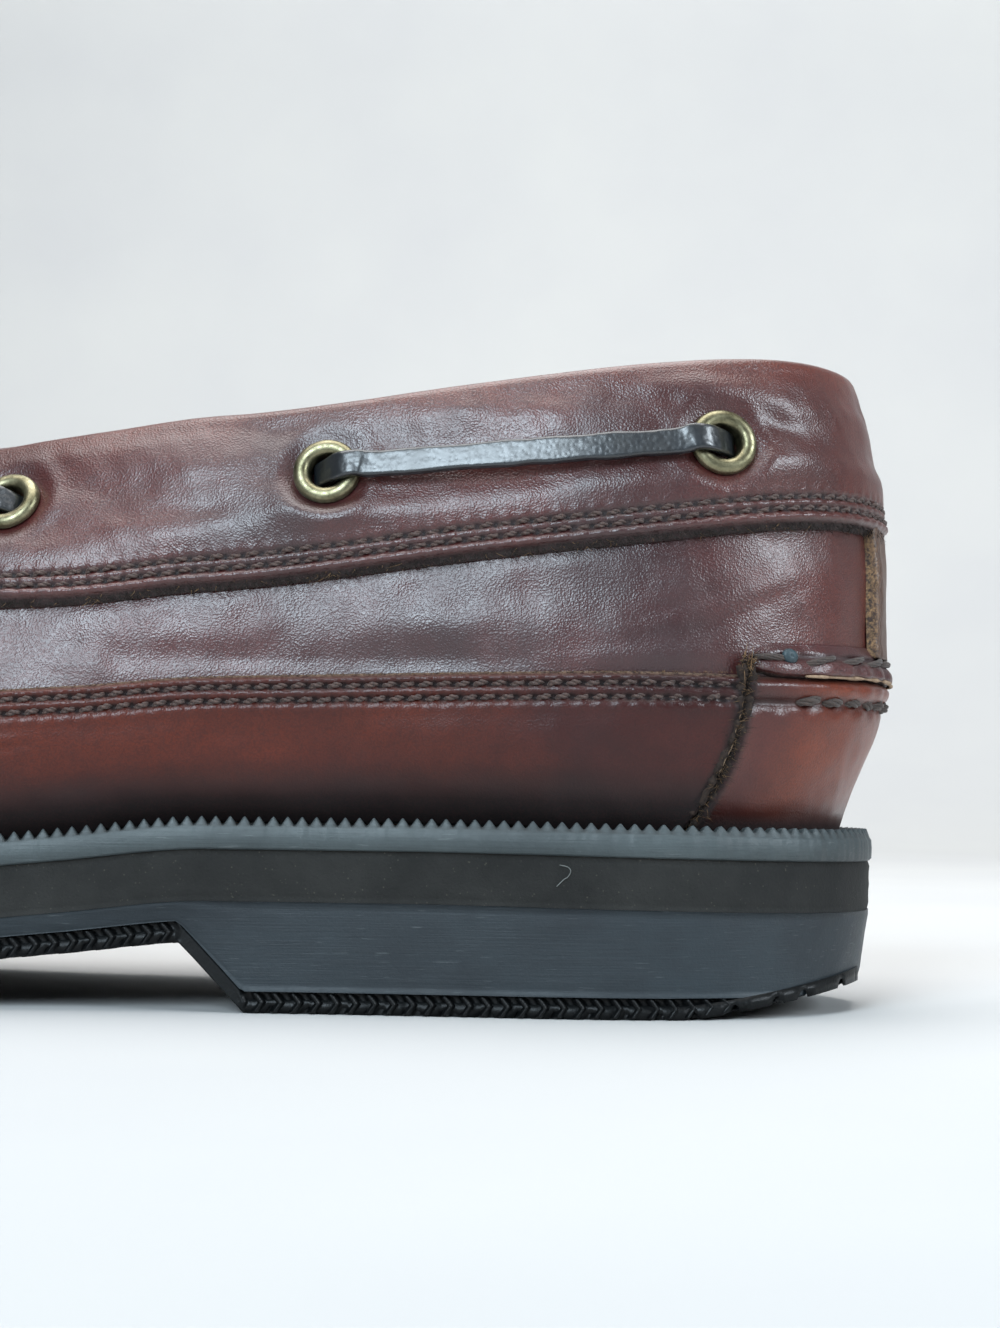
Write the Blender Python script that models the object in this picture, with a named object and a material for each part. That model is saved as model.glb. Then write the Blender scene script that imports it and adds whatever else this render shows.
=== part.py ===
"""Boat shoe, left foot, empty and standing on its sole.

The toe points to -Y, the heel to +Y, the outer (lateral) side to +X, and +Z is up.
Sizes are in millimetres. Heights are measured from the floor, and "along" is measured
from the back edge of the heel towards the toe.
"""

import math

import bmesh
import bpy
import numpy as np
from mathutils import Vector

MM = 0.001

# Driving sizes
LENGTH = 300.0
BALL_WIDTH = 108.0
UPPER_HEIGHT = 72.0
UPPER_WALL = 2.0
OVERLAY = 1.5
GAP = 0.3

# Sole layers
TREAD_THICKNESS = 3.2
OUTSOLE_THICKNESS = 2.6
HEEL_LIFT = 10.2
MIDSOLE_THICKNESS = 7.2
WELT_THICKNESS = 3.3
TOE_SPRING = 9.0
HEEL_BEVEL = 5.0
TREAD_THINNEST = 0.8
SOLE_TAPER = 1.5
WELT_RING_WIDTH = 13.0
INSOLE_THICKNESS = 4.0
RIB_PITCH = 5.2
RIB_GROOVE = 1.6
CORNER_CLEAR = 2.5
RIB_DEPTH = 1.5
RIBS_FROM = 0.075
RIBS_TO = 0.955
BALL_ALONG = 0.68

# Upper details
FEATHER_INSET = 5.0
HEEL_TUCK_END = 0.12
BAND_HEIGHT = 27.6
WRAP_HEIGHT = 20.8
WRAP_HEEL_RISE = 2.8
WRAP_EASE = 0.42
PATCH_HEIGHT = 27.4
WRAP_LEVEL_START = 0.38
WRAP_RISE_START = 0.560
WRAP_RISE_RUN = 0.117
END_GAP_U = 0.0007
SEAM_FADE_U = 0.035
SEAM_CURVE = 2.0
BAND_END_OUTER = 0.672
BAND_END_INNER = 0.688
PLUG_START = 0.634
HEEL_RIDGE_PROUD = 2.2
HEEL_RIDGE_HEIGHT = 3.6
PATCH_TOP_ALONG = 18.0
PATCH_FOOT_ALONG = 27.5
PATCH_REACH_U = 0.12
BACK_STAY_WIDTH = 24.0
PLUG_THICKNESS = 1.8
PLUG_CROWN = 7.0
PLUG_INSET = 2.6
TONGUE_THICKNESS = 2.0
TONGUE_WIDTH = 46.0
TONGUE_ARCH = 0.019

# Eyelets and lace
EYELET_HOLE = 5.2
EYELET_BARREL_WALL = 0.5
EYELET_FLANGE = 9.5
EYELET_RISE = 1.4
EYELET_SEAT = 0.6
LACE_WIDTH = 4.0
LACE_THICKNESS = 1.2
LACE_ARCH = 3.0

# The sole's edge and the upper's top edge, once round the shoe from the back of the heel
# by the outer side and the toe. along and top_along are shares of LENGTH, across and
# top_across are shares of half of BALL_WIDTH, rise is the top edge's height over the
# welt and belly_rise the widest point's, both as shares of UPPER_HEIGHT, lean is the
# wall's slope at its top edge in degrees, belly is how far the wall stands out past the
# sole's edge as a share of OVERLAY, and band is the collar band's depth as a share of
# BAND_HEIGHT.
SECTIONS = [
    # along, across, top_along, top_across, rise, lean, belly, belly_rise, band
    (0.000, 0.000, 0.011, 0.000, 1.000, 66, 1.90, 0.36, 0.94),
    (0.030, 0.444, 0.040, 0.365, 1.000, 68, 1.60, 0.33, 0.96),
    (0.100, 0.657, 0.104, 0.540, 0.972, 70, 1.20, 0.28, 1.00),
    (0.207, 0.704, 0.203, 0.590, 0.915, 70, 1.20, 0.25, 1.00),
    (0.317, 0.741, 0.312, 0.580, 0.862, 66, 1.30, 0.24, 1.03),
    (0.417, 0.806, 0.413, 0.515, 0.854, 58, 1.50, 0.22, 1.08),
    (0.500, 0.889, 0.493, 0.426, 0.866, 48, 1.50, 0.20, 1.12),
    (0.560, 0.948, 0.547, 0.324, 0.880, 38, 1.40, 0.19, 1.25),
    (0.627, 0.996, 0.630, 0.287, 0.685, 28, 1.30, 0.20, 0.90),
    (0.683, 1.009, 0.677, 0.556, 0.571, 32, 1.20, 0.21, 0.20),
    (0.773, 0.972, 0.760, 0.657, 0.522, 34, 1.00, 0.23, 0.15),
    (0.873, 0.796, 0.850, 0.583, 0.462, 36, 0.80, 0.23, 0.15),
    (0.953, 0.463, 0.918, 0.352, 0.405, 38, 0.70, 0.21, 0.15),
    (1.000, -0.093, 0.946, -0.083, 0.375, 40, 0.70, 0.20, 0.15),
    (0.967, -0.556, 0.927, -0.463, 0.395, 38, 0.70, 0.21, 0.15),
    (0.900, -0.806, 0.863, -0.648, 0.452, 36, 0.80, 0.22, 0.15),
    (0.810, -0.954, 0.787, -0.704, 0.512, 34, 1.00, 0.23, 0.15),
    (0.707, -0.981, 0.693, -0.593, 0.571, 32, 1.30, 0.22, 0.20),
    (0.633, -0.926, 0.632, -0.287, 0.685, 28, 1.80, 0.21, 0.90),
    (0.557, -0.815, 0.547, -0.324, 0.880, 38, 2.30, 0.22, 1.25),
    (0.490, -0.722, 0.490, -0.417, 0.867, 50, 2.60, 0.24, 1.12),
    (0.407, -0.657, 0.410, -0.500, 0.855, 60, 2.70, 0.25, 1.08),
    (0.310, -0.639, 0.310, -0.556, 0.863, 66, 2.20, 0.26, 1.03),
    (0.207, -0.667, 0.203, -0.580, 0.915, 70, 1.50, 0.27, 1.00),
    (0.100, -0.639, 0.104, -0.530, 0.972, 70, 1.20, 0.29, 1.00),
    (0.030, -0.435, 0.040, -0.357, 1.000, 68, 1.60, 0.33, 0.96),
]
(ALONG, ACROSS, TOP_ALONG, TOP_ACROSS, RISE, LEAN, BELLY, BELLY_RISE, BAND) = range(9)

# How high the sole rides along its length: lift is the share of HEEL_LIFT that the
# outsole adds under the midsole, and spring the share of TOE_SPRING.
RIDE = [
    # along, lift, spring
    (0.000, 0.89, 0.00),
    (0.100, 0.95, 0.00),
    (0.230, 1.00, 0.00),
    (0.320, 1.00, 0.00),
    (0.390, 0.81, 0.00),
    (0.420, 0.72, 0.00),
    (0.500, 0.42, 0.00),
    (0.580, 0.12, 0.00),
    (0.640, 0.00, 0.00),
    (0.760, 0.00, 0.00),
    (0.860, 0.00, 0.22),
    (1.000, 0.00, 1.00),
]

# The heel's front step, as places along the sole
BREAST_FOOT = 0.302
BREAST_TOP = 0.334
HEEL_FLAT_START = 0.090

# Places of the collar's eyelets as shares of LENGTH, and their drop below the top edge
# as shares of BAND_HEIGHT. The last two of each side are those of the throat.
EYELETS = [
    # along, drop
    (0.078, 0.52),
    (0.264, 0.44),
    (0.429, 0.45),
    (0.515, 0.42),
    (0.560, 0.34),
    (0.597, 0.33),
]
SIDE_LACES = [(0, 1), (2, 3)]
THROAT_EYELETS = (4, 5)

# The tongue's middle line: share of LENGTH, height over the floor less the sole at the
# ball, as a share of UPPER_HEIGHT, and width as a share of TONGUE_WIDTH
TONGUE = [
    # along, rise, width
    (0.668, 0.602, 0.80),
    (0.630, 0.662, 0.88),
    (0.587, 0.765, 0.91),
    (0.543, 0.858, 0.80),
    (0.517, 0.925, 0.70),
    (0.493, 0.968, 0.72),
    (0.450, 0.992, 0.80),
    (0.434, 0.994, 0.62),
]

STATIONS_ROUND = 68
WRAP_FOOT_ROWS = 4
WRAP_SIDE_ROWS = 3
WRAP_KNEE = 0.60
WRAP_RIM = 0.94
QUARTER_ROWS = 3
BAND_ROWS = 3
BELLY_SHARE = 0.34
SIDES_ROUND_HOLE = 8
SLOPE_STEP = 0.004


def clear_scene():
    for item in list(bpy.data.objects):
        bpy.data.objects.remove(item)


def monotone(xs, ys):
    """A smooth curve through the points that stays level between equal heights."""
    xs, ys = np.array(xs, float), np.array(ys, float)
    steps, slopes = np.diff(xs), np.diff(ys) / np.diff(xs)
    tangents = np.zeros(len(xs))
    for i in range(1, len(xs) - 1):
        if slopes[i - 1] * slopes[i] > 0:
            w1, w2 = 2 * steps[i] + steps[i - 1], steps[i] + 2 * steps[i - 1]
            tangents[i] = (w1 + w2) / (w1 / slopes[i - 1] + w2 / slopes[i])
    tangents[0], tangents[-1] = slopes[0], slopes[-1]

    def at(x):
        x = np.clip(np.asarray(x, float), xs[0], xs[-1])
        i = np.clip(np.searchsorted(xs, x) - 1, 0, len(xs) - 2)
        h = steps[i]
        t = (x - xs[i]) / h
        return (
            ys[i] * (1 + 2 * t) * (1 - t) ** 2
            + tangents[i] * h * t * (1 - t) ** 2
            + ys[i + 1] * t * t * (3 - 2 * t)
            + tangents[i + 1] * h * t * t * (t - 1)
        )

    return at


class Loop:
    """Smooth closed curves through the columns of SECTIONS, over u from 0 to 1."""

    def __init__(self, rows):
        self.rows = np.array(rows, float)
        edge = np.stack([self.rows[:, ALONG] * LENGTH, self.rows[:, ACROSS] * BALL_WIDTH / 2], 1)
        chords = np.linalg.norm(np.roll(edge, -1, 0) - edge, axis=1)
        self.round = chords.sum()
        self.knots = np.concatenate([[0.0], np.cumsum(chords)]) / self.round
        self.curved = self._second_derivatives()

    def _second_derivatives(self):
        n = len(self.rows)
        h = np.diff(self.knots)
        system, right = np.zeros((n, n)), np.zeros_like(self.rows)
        for i in range(n):
            before, after = h[i - 1], h[i]
            system[i, i - 1] += before / 6
            system[i, i] += (before + after) / 3
            system[i, (i + 1) % n] += after / 6
            right[i] = (self.rows[(i + 1) % n] - self.rows[i]) / after
            right[i] -= (self.rows[i] - self.rows[i - 1]) / before
        return np.linalg.solve(system, right)

    def at(self, u):
        u = np.mod(np.asarray(u, float), 1.0)
        i = np.clip(np.searchsorted(self.knots, u, side="right") - 1, 0, len(self.rows) - 1)
        j = (i + 1) % len(self.rows)
        h = self.knots[i + 1] - self.knots[i]
        b = ((u - self.knots[i]) / h)[..., None]
        a = 1 - b
        bend = ((a**3 - a) * self.curved[i] + (b**3 - b) * self.curved[j]) * (h**2)[..., None] / 6
        return a * self.rows[i] + b * self.rows[j] + bend


LOOP = Loop(SECTIONS)
TOE_U = LOOP.knots[int(np.argmax(LOOP.rows[:, ALONG]))]
LIFT = monotone([row[0] for row in RIDE], [row[1] for row in RIDE])
SPRING = monotone([row[0] for row in RIDE], [row[2] for row in RIDE])


def outsole_top(along):
    """Height of the joint between outsole and midsole."""
    share = np.asarray(along, float) / LENGTH
    base = TREAD_THICKNESS + GAP + OUTSOLE_THICKNESS
    return base + LIFT(share) * HEEL_LIFT + SPRING(share) * TOE_SPRING


def midsole_top(along):
    return outsole_top(along) + GAP + MIDSOLE_THICKNESS


def welt_top(along):
    return midsole_top(along) + GAP + WELT_THICKNESS


def tread_foot(along):
    """Height of the tread's underside: heel bevel, heel, step, waist, forefoot and toe."""
    share = np.asarray(along, float) / LENGTH
    waist = outsole_top(along) - OUTSOLE_THICKNESS - GAP - TREAD_THICKNESS
    bevel = HEEL_BEVEL * np.clip(1 - share / HEEL_FLAT_START, 0, 1) ** 1.2
    up_step = np.clip((share - BREAST_FOOT) / (BREAST_TOP - BREAST_FOOT), 0, 1)
    return bevel * (1 - up_step) + waist * up_step


def tread_top(along):
    """The tread keeps its top level over the heel's bevel until it gets too thin."""
    foot = tread_foot(along)
    over_bevel = np.asarray(along, float) / LENGTH < HEEL_FLAT_START
    level = np.maximum(TREAD_THICKNESS, foot + TREAD_THINNEST)
    return np.where(over_bevel, level, foot + TREAD_THICKNESS)


def outsole_foot(along):
    return tread_top(along) + GAP


def sole_edge(u, out=0.0):
    """(across, along) of the sole's edge at u, moved outwards by out."""
    here = LOOP.at(u)
    step = 1e-4
    ahead, behind = LOOP.at(np.asarray(u) + step), LOOP.at(np.asarray(u) - step)
    slope_x = (ahead[..., ACROSS] - behind[..., ACROSS]) * BALL_WIDTH / 2
    slope_s = (ahead[..., ALONG] - behind[..., ALONG]) * LENGTH
    size = np.hypot(slope_x, slope_s)
    normal_x, normal_s = slope_s / size, -slope_x / size
    across = here[..., ACROSS] * BALL_WIDTH / 2 + normal_x * out
    along = here[..., ALONG] * LENGTH + normal_s * out
    return across, along, normal_x, normal_s


def hermite(start, end, leave, arrive, t):
    t = t[..., None]
    return (
        start * (1 + 2 * t) * (1 - t) ** 2
        + leave * t * (1 - t) ** 2
        + end * t * t * (3 - 2 * t)
        + arrive * t * t * (t - 1)
    )


def form_point(u, t):
    """The outer face of the shoe's upper as (across, along, height). t runs from the welt
    (0) over the widest point (BELLY_SHARE) to the top edge (1)."""
    u, t = np.broadcast_arrays(np.asarray(u, float), np.asarray(t, float))
    row = LOOP.at(u)
    foot_x, foot_s, normal_x, normal_s = sole_edge(u, -FEATHER_INSET)
    foot = np.stack([foot_x, foot_s, welt_top(foot_s) + GAP], -1)
    belly_x, belly_s, _, _ = sole_edge(u, 0.0)
    bulge = row[..., BELLY] * OVERLAY
    belly_z = foot[..., 2] + row[..., BELLY_RISE] * UPPER_HEIGHT
    belly = np.stack([belly_x + normal_x * bulge, belly_s + normal_s * bulge, belly_z], -1)
    top_s = row[..., TOP_ALONG] * LENGTH
    top_z = welt_top(top_s) + row[..., RISE] * UPPER_HEIGHT
    top = np.stack([row[..., TOP_ACROSS] * BALL_WIDTH / 2, top_s, top_z], -1)

    lower = np.linalg.norm(belly - foot, axis=-1)[..., None]
    upper = np.linalg.norm(top - belly, axis=-1)[..., None]
    upwards = np.zeros_like(foot)
    upwards[..., 2] = 1.0
    outwards = np.stack([normal_x, normal_s, np.zeros_like(normal_x)], -1)
    tuck = np.clip(1 - row[..., ALONG] / HEEL_TUCK_END, 0, 1)[..., None]
    leave = ((0.75 - 0.43 * tuck) * outwards + (0.66 + 0.29 * tuck) * upwards) * lower
    inwards = top - belly
    inwards[..., 2] = 0
    inwards /= np.maximum(np.linalg.norm(inwards, axis=-1), 1e-6)[..., None]
    lean = np.radians(row[..., LEAN])[..., None]
    arrive = (np.cos(lean) * inwards + np.sin(lean) * upwards) * upper
    low = hermite(foot, belly, leave, upwards * lower, np.clip(t / BELLY_SHARE, 0, 1))
    high_t = np.clip((t - BELLY_SHARE) / (1 - BELLY_SHARE), 0, 1)
    high = hermite(belly, top, upwards * upper, arrive, high_t)
    return np.where((t < BELLY_SHARE)[..., None], low, high)


def form_normal(u, t):
    """The unit normal of the form, outwards."""
    step_u, step_t = 2e-3, 1e-3
    t = np.clip(np.asarray(t, float), step_t, 1 - step_t)
    step_round = form_point(np.asarray(u) + step_u, t) - form_point(np.asarray(u) - step_u, t)
    up_wall = form_point(u, t + step_t) - form_point(u, t - step_t)
    normal = np.cross(step_round, up_wall)
    return normal / np.linalg.norm(normal, axis=-1)[..., None]


def skin(u, t, out):
    """Points at the distance out from the form."""
    u, t, out = np.broadcast_arrays(*(np.asarray(value, float) for value in (u, t, out)))
    return form_point(u, t) + form_normal(u, t) * out[..., None]


def t_at_rise(u, rise):
    """Where each profile is rise above the welt, or its top if it ends lower."""
    found = []
    for one_u, one_rise in zip(np.atleast_1d(u), np.broadcast_to(rise, np.atleast_1d(u).shape)):
        ts = np.linspace(0, 1, 80)
        heights = np.maximum.accumulate(form_point(one_u, ts)[:, 2])
        found.append(np.interp(heights[0] + one_rise, heights, ts))
    return np.array(found)


def wrap_level(u):
    """Where the wrap's top edge lies along the quarters: it climbs towards the heel."""
    along = LOOP.at(u)[..., ALONG]
    climb = np.clip(1 - along / WRAP_LEVEL_START, 0, 1)
    ease = WRAP_EASE * (1 - LIFT(along)) * HEEL_LIFT
    return t_at_rise(u, WRAP_HEIGHT + WRAP_HEEL_RISE * climb + ease)


def t_at_drop(u, drop):
    """Where each profile is drop below its top edge, measured along the leather."""
    found = []
    for one_u, one_drop in zip(np.atleast_1d(u), np.broadcast_to(drop, np.atleast_1d(u).shape)):
        ts = np.linspace(0, 1, 80)
        points = form_point(one_u, ts)
        lengths = np.concatenate([[0], np.cumsum(np.linalg.norm(np.diff(points, axis=0), axis=1))])
        found.append(np.interp(lengths[-1] - one_drop, lengths, ts))
    return np.array(found)


def u_at_along(along, outer, column=TOP_ALONG):
    """The profile whose edge in that column lies at along, on the outer or inner side."""
    us = np.linspace(0, TOE_U, 400) if outer else np.linspace(1, TOE_U, 400)
    places = np.maximum.accumulate(LOOP.at(us)[:, column] * LENGTH)
    return np.interp(along, places, us)


def world(points):
    """From (across, along, height) in millimetres to metres, the toe towards -Y."""
    points = np.asarray(points, float)
    return np.stack([points[..., 0], LENGTH / 2 - points[..., 1], points[..., 2]], -1) * MM


def new_object(name, vertices, faces, material):
    mesh = bpy.data.meshes.new(name)
    mesh.from_pydata([tuple(v) for v in vertices], [], [tuple(f) for f in faces])
    work = bmesh.new()
    work.from_mesh(mesh)
    bmesh.ops.remove_doubles(work, verts=work.verts, dist=1e-7)
    bmesh.ops.recalc_face_normals(work, faces=work.faces)
    if work.calc_volume(signed=True) < 0:
        bmesh.ops.reverse_faces(work, faces=work.faces)
    work.to_mesh(mesh)
    work.free()
    mesh.shade_smooth()
    mesh.set_sharp_from_angle(angle=math.radians(40))
    item = bpy.data.objects.new(name, mesh)
    bpy.context.scene.collection.objects.link(item)
    item.data.materials.append(material)
    return item


def material(name, colour, roughness, metallic=0.0):
    made = bpy.data.materials.new(name)
    made.use_nodes = True
    shader = made.node_tree.nodes["Principled BSDF"]
    shader.inputs["Base Color"].default_value = (*colour, 1.0)
    shader.inputs["Roughness"].default_value = roughness
    shader.inputs["Metallic"].default_value = metallic
    made.diffuse_color = (*colour, 1.0)
    return made


def tube_faces(rings, size, closed):
    """Quads between rings of size points each. Open tubes get a cap at both ends."""
    faces = []
    for i in range(rings if closed else rings - 1):
        a, b = i * size, ((i + 1) % rings) * size
        for j in range(size):
            k = (j + 1) % size
            faces.append((a + j, a + k, b + k, b + j))
    if not closed:
        faces.append(tuple(range(size)))
        last = (rings - 1) * size
        faces.append(tuple(last + j for j in reversed(range(size))))
    return faces


def shell(name, us, ts, outer, inner, finish, closed=False):
    """A curved sheet between two distances from the form. us and ts are arrays with a row
    for each step round the shoe and a column for each step up the wall."""
    outside, inside = skin(us, ts, outer), skin(us, ts, inner)
    rings = np.concatenate([outside, inside[:, ::-1]], axis=1)
    count, size = rings.shape[:2]
    faces, half = [], size // 2
    for ring in range(count if closed else count - 1):
        a, b = ring * size, ((ring + 1) % count) * size
        for j in range(size):
            k = (j + 1) % size
            if j < half:
                faces += [(a + j, a + k, b + k), (a + j, b + k, b + j)]
            else:
                faces += [(a + j, a + k, b + j), (a + k, b + k, b + j)]
    if not closed:
        for start in (0, (count - 1) * size):
            for j in range(half - 1):
                k = size - 1 - j
                faces.append((start + j, start + j + 1, start + k - 1, start + k))
    return new_object(name, world(rings.reshape(-1, 3)), faces, finish)


def ramp(low, high, rows):
    """ts from low to high for each step round the shoe, as a grid."""
    return np.asarray(low)[:, None] + (np.asarray(high) - low)[:, None] * np.linspace(0, 1, rows)


def grid_u(us, rows):
    return np.repeat(np.asarray(us)[:, None], rows, axis=1)


def sole_stations():
    """Places along the sole, close together at the round ends and at the heel's step."""
    turn = np.linspace(0, math.pi, 44)
    places = (1 - np.cos(turn)) / 2 * LENGTH
    corners = [BREAST_FOOT * LENGTH, BREAST_TOP * LENGTH, HEEL_FLAT_START * LENGTH]
    near = [p for p in places if min(abs(p - c) for c in corners) > CORNER_CLEAR]
    return np.array(sorted(near + corners))


def ribbed_stations():
    """Places along the tread with three for each rib: two on its foot and one in its groove."""
    flat = list(sole_stations())
    first, last = RIBS_FROM * LENGTH, RIBS_TO * LENGTH
    ribs = [p for p in flat if p < first or p > last]
    ribs += [BREAST_FOOT * LENGTH, BREAST_TOP * LENGTH]
    grooves = []
    for k in range(int((last - first) / RIB_PITCH)):
        start = first + k * RIB_PITCH
        if BREAST_FOOT * LENGTH - RIB_PITCH < start < BREAST_TOP * LENGTH + 1:
            continue
        ribs += [start, start + RIB_PITCH - RIB_GROOVE]
        grooves.append(start + RIB_PITCH - RIB_GROOVE / 2)
    places = np.array(sorted(ribs + grooves))
    depth = np.array([RIB_DEPTH if p in grooves else 0.0 for p in places])
    return places, depth


def slab(name, places, top, foot, top_out, foot_out, finish):
    """One layer of the sole: full width, between two heights for each place along it."""
    outer = u_at_along(places[1:-1], True, ALONG)
    inner = u_at_along(places[1:-1], False, ALONG)
    vertices, rings = [], []
    for end, (u, place) in enumerate(((0.0, 0), (TOE_U, -1))):
        points = []
        for height, out in ((top, top_out), (foot, foot_out)):
            x, s, _, _ = sole_edge(u, out)
            points.append((x, s, height[place]))
        rings.append(points)
    middle = []
    for u_out, u_in, high, low in zip(outer, inner, top[1:-1], foot[1:-1]):
        ring = []
        for u, height, out in (
            (u_out, high, top_out),
            (u_in, high, top_out),
            (u_in, low, foot_out),
            (u_out, low, foot_out),
        ):
            x, s, _, _ = sole_edge(u, out)
            ring.append((x, s, height))
        middle.append(ring)
    for ring in middle:
        vertices += ring
    faces = []
    for i in range(len(middle) - 1):
        a, b = i * 4, (i + 1) * 4
        for j in range(4):
            k = (j + 1) % 4
            faces.append((a + j, a + k, b + k, b + j))
    for ring, at in ((rings[0], 0), (rings[1], (len(middle) - 1) * 4)):
        tip = len(vertices)
        vertices += ring
        faces += [
            (tip, at, at + 1),
            (tip + 1, at + 2, at + 3),
            (tip, tip + 1, at + 3, at),
            (tip, at + 1, at + 2, tip + 1),
        ]
    return new_object(name, world(vertices), faces, finish)


def build_sole(finishes):
    places = sole_stations()
    ribbed, groove = ribbed_stations()
    slab("tread", ribbed, tread_top(ribbed), tread_foot(ribbed) + groove,
         -SOLE_TAPER, -SOLE_TAPER - 0.3, finishes["tread"])
    slab("outsole", places, outsole_top(places), outsole_foot(places),
         -0.2, -SOLE_TAPER + 0.2, finishes["outsole"])
    slab("midsole", places, midsole_top(places), outsole_top(places) + GAP,
         0.0, 0.0, finishes["midsole"])
    build_welt(finishes["welt"])
    build_insole(places, finishes["insole"])


def build_welt(finish):
    """A ring round the sole that the upper stands on, its edge chamfered at the top."""
    us = np.arange(STATIONS_ROUND) / STATIONS_ROUND
    chamfer = 1.0
    rings = []
    for out, side, drop in (
        (0.0, "foot", 0.0),
        (0.2, "top", 1.2),
        (-chamfer, "top", 0.0),
        (-WELT_RING_WIDTH, "top", 0.0),
        (-WELT_RING_WIDTH, "foot", 0.0),
    ):
        x, s, _, _ = sole_edge(us, out)
        height = welt_top(s) - drop if side == "top" else midsole_top(s) + GAP
        rings.append(np.stack([x, s, height], -1))
    points = np.stack(rings, axis=1)
    new_object("welt", world(points.reshape(-1, 3)),
               tube_faces(STATIONS_ROUND, len(rings), True), finish)


def build_insole(places, finish):
    """The footbed: it fills the welt's ring and stands a little over it."""
    edge = -WELT_RING_WIDTH - 1.6 * GAP
    foot = midsole_top(places) + 2 * GAP
    top = welt_top(places) + INSOLE_THICKNESS - WELT_THICKNESS
    keep = slice(2, -2)
    slab("insole", places[keep], top[keep], foot[keep], edge, edge, finish)


def round_shoe(start=None, end=None):
    """Stations round the shoe that every leather piece shares, with the band's two ends.
    With a start and an end, those between them with both added."""
    inner_end, outer_end = band_ends()
    steps = END_GAP_U * np.arange(3)
    fixed = list(outer_end + steps) + list(inner_end + 1 - steps)
    even = np.arange(STATIONS_ROUND) / STATIONS_ROUND
    clear = 0.35 / STATIONS_ROUND
    even = [u for u in even if min(abs(u - f) for f in fixed) > clear]
    stations = np.array(sorted(list(even) + fixed))
    if start is None:
        return stations
    turns = np.concatenate([stations - 1, stations])
    between = turns[(turns > start + clear) & (turns < end - clear)]
    return np.concatenate([[start], between, [end]])


def wrap_rows(us):
    """Rows from the welt to just under the wrap's top edge, with one at the widest point."""
    rim = WRAP_RIM * wrap_top(us)
    knee = np.minimum(BELLY_SHARE, WRAP_KNEE * rim)
    return np.concatenate([
        ramp(np.zeros(len(us)), knee, WRAP_FOOT_ROWS),
        ramp(knee, rim, WRAP_SIDE_ROWS)[:, 1:],
    ], axis=1)


def wall_rows(us):
    """The upper's rows up the wall: wrap, quarter and band, each in even steps."""
    wrap = wrap_top(us)
    rim = np.minimum(wrap, 0.97)
    band = np.clip(band_foot(us), rim + 0.004, 0.98)
    return np.concatenate([
        wrap_rows(us),
        ramp(rim, band, QUARTER_ROWS),
        ramp(band, np.ones(len(us)), BAND_ROWS)[:, 1:],
    ], axis=1)


def patch_edge_u(ts, outer):
    """The curved seam between heel patch and wrap, for each t from the welt upwards."""
    us = np.linspace(0, PATCH_REACH_U, 60) if outer else np.linspace(1, 1 - PATCH_REACH_U, 60)
    top_t = float(t_at_rise(us[20], PATCH_HEIGHT)[0])
    left = 1 - np.clip(ts / top_t, 0, 1)
    along = PATCH_TOP_ALONG + (PATCH_FOOT_ALONG - PATCH_TOP_ALONG) * left**SEAM_CURVE
    return np.array([np.interp(a, form_point(us, t)[:, 1], us) for a, t in zip(along, ts)])


def build_upper(finishes):
    """The quarters, vamp and counter as one hollow wall, open at collar, throat and sole."""
    us = round_shoe()
    ts = wall_rows(us)
    outer = -OVERLAY - GAP
    return shell("upper", grid_u(us, ts.shape[1]), ts, outer, outer - UPPER_WALL,
                 finishes["leather"], closed=True)


def wrap_top(us):
    """The wrap's top edge: level along the quarters, up to the eyestay's foot in front of
    them, and the upper's own top edge round the toe."""
    level = wrap_level(us)
    along = LOOP.at(us)[:, ALONG]
    rise = np.clip((along - WRAP_RISE_START) / WRAP_RISE_RUN, 0, 1)
    rise = rise * rise * (3 - 2 * rise)
    top = level + (1 - level) * rise
    inner_end, outer_end = band_ends()
    turned_u = np.where(us > inner_end + 1 - END_GAP_U * 1.5, us - 1, us)
    under_band = turned_u < outer_end + END_GAP_U * 1.5
    return np.where(under_band, np.minimum(top, band_foot(us) - GAP / UPPER_HEIGHT * 1.6), 1.0)


def build_wrap(finishes):
    """The moccasin's lower leather, from the heel patch round the toe and back."""
    start = float(patch_edge_u(np.array([BELLY_SHARE]), True)[0])
    end = float(patch_edge_u(np.array([BELLY_SHARE]), False)[0])
    us = round_shoe(start, end)
    ts = np.concatenate([wrap_rows(us), wrap_top(us)[:, None]], axis=1)
    grid = grid_u(us, ts.shape[1])
    half_gap = GAP / 2 / LOOP.round
    near_start = np.clip(1 - (us - us[0]) / SEAM_FADE_U, 0, 1)[:, None]
    near_end = np.clip(1 - (us[-1] - us) / SEAM_FADE_U, 0, 1)[:, None]
    grid = grid + near_start * (patch_edge_u(ts[0], True)[None, :] + half_gap - start)
    grid = grid + near_end * (patch_edge_u(ts[-1], False)[None, :] - half_gap - end)
    return shell("wrap", grid, ts, 0.0, -OVERLAY, finishes["wrap"])


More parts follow.
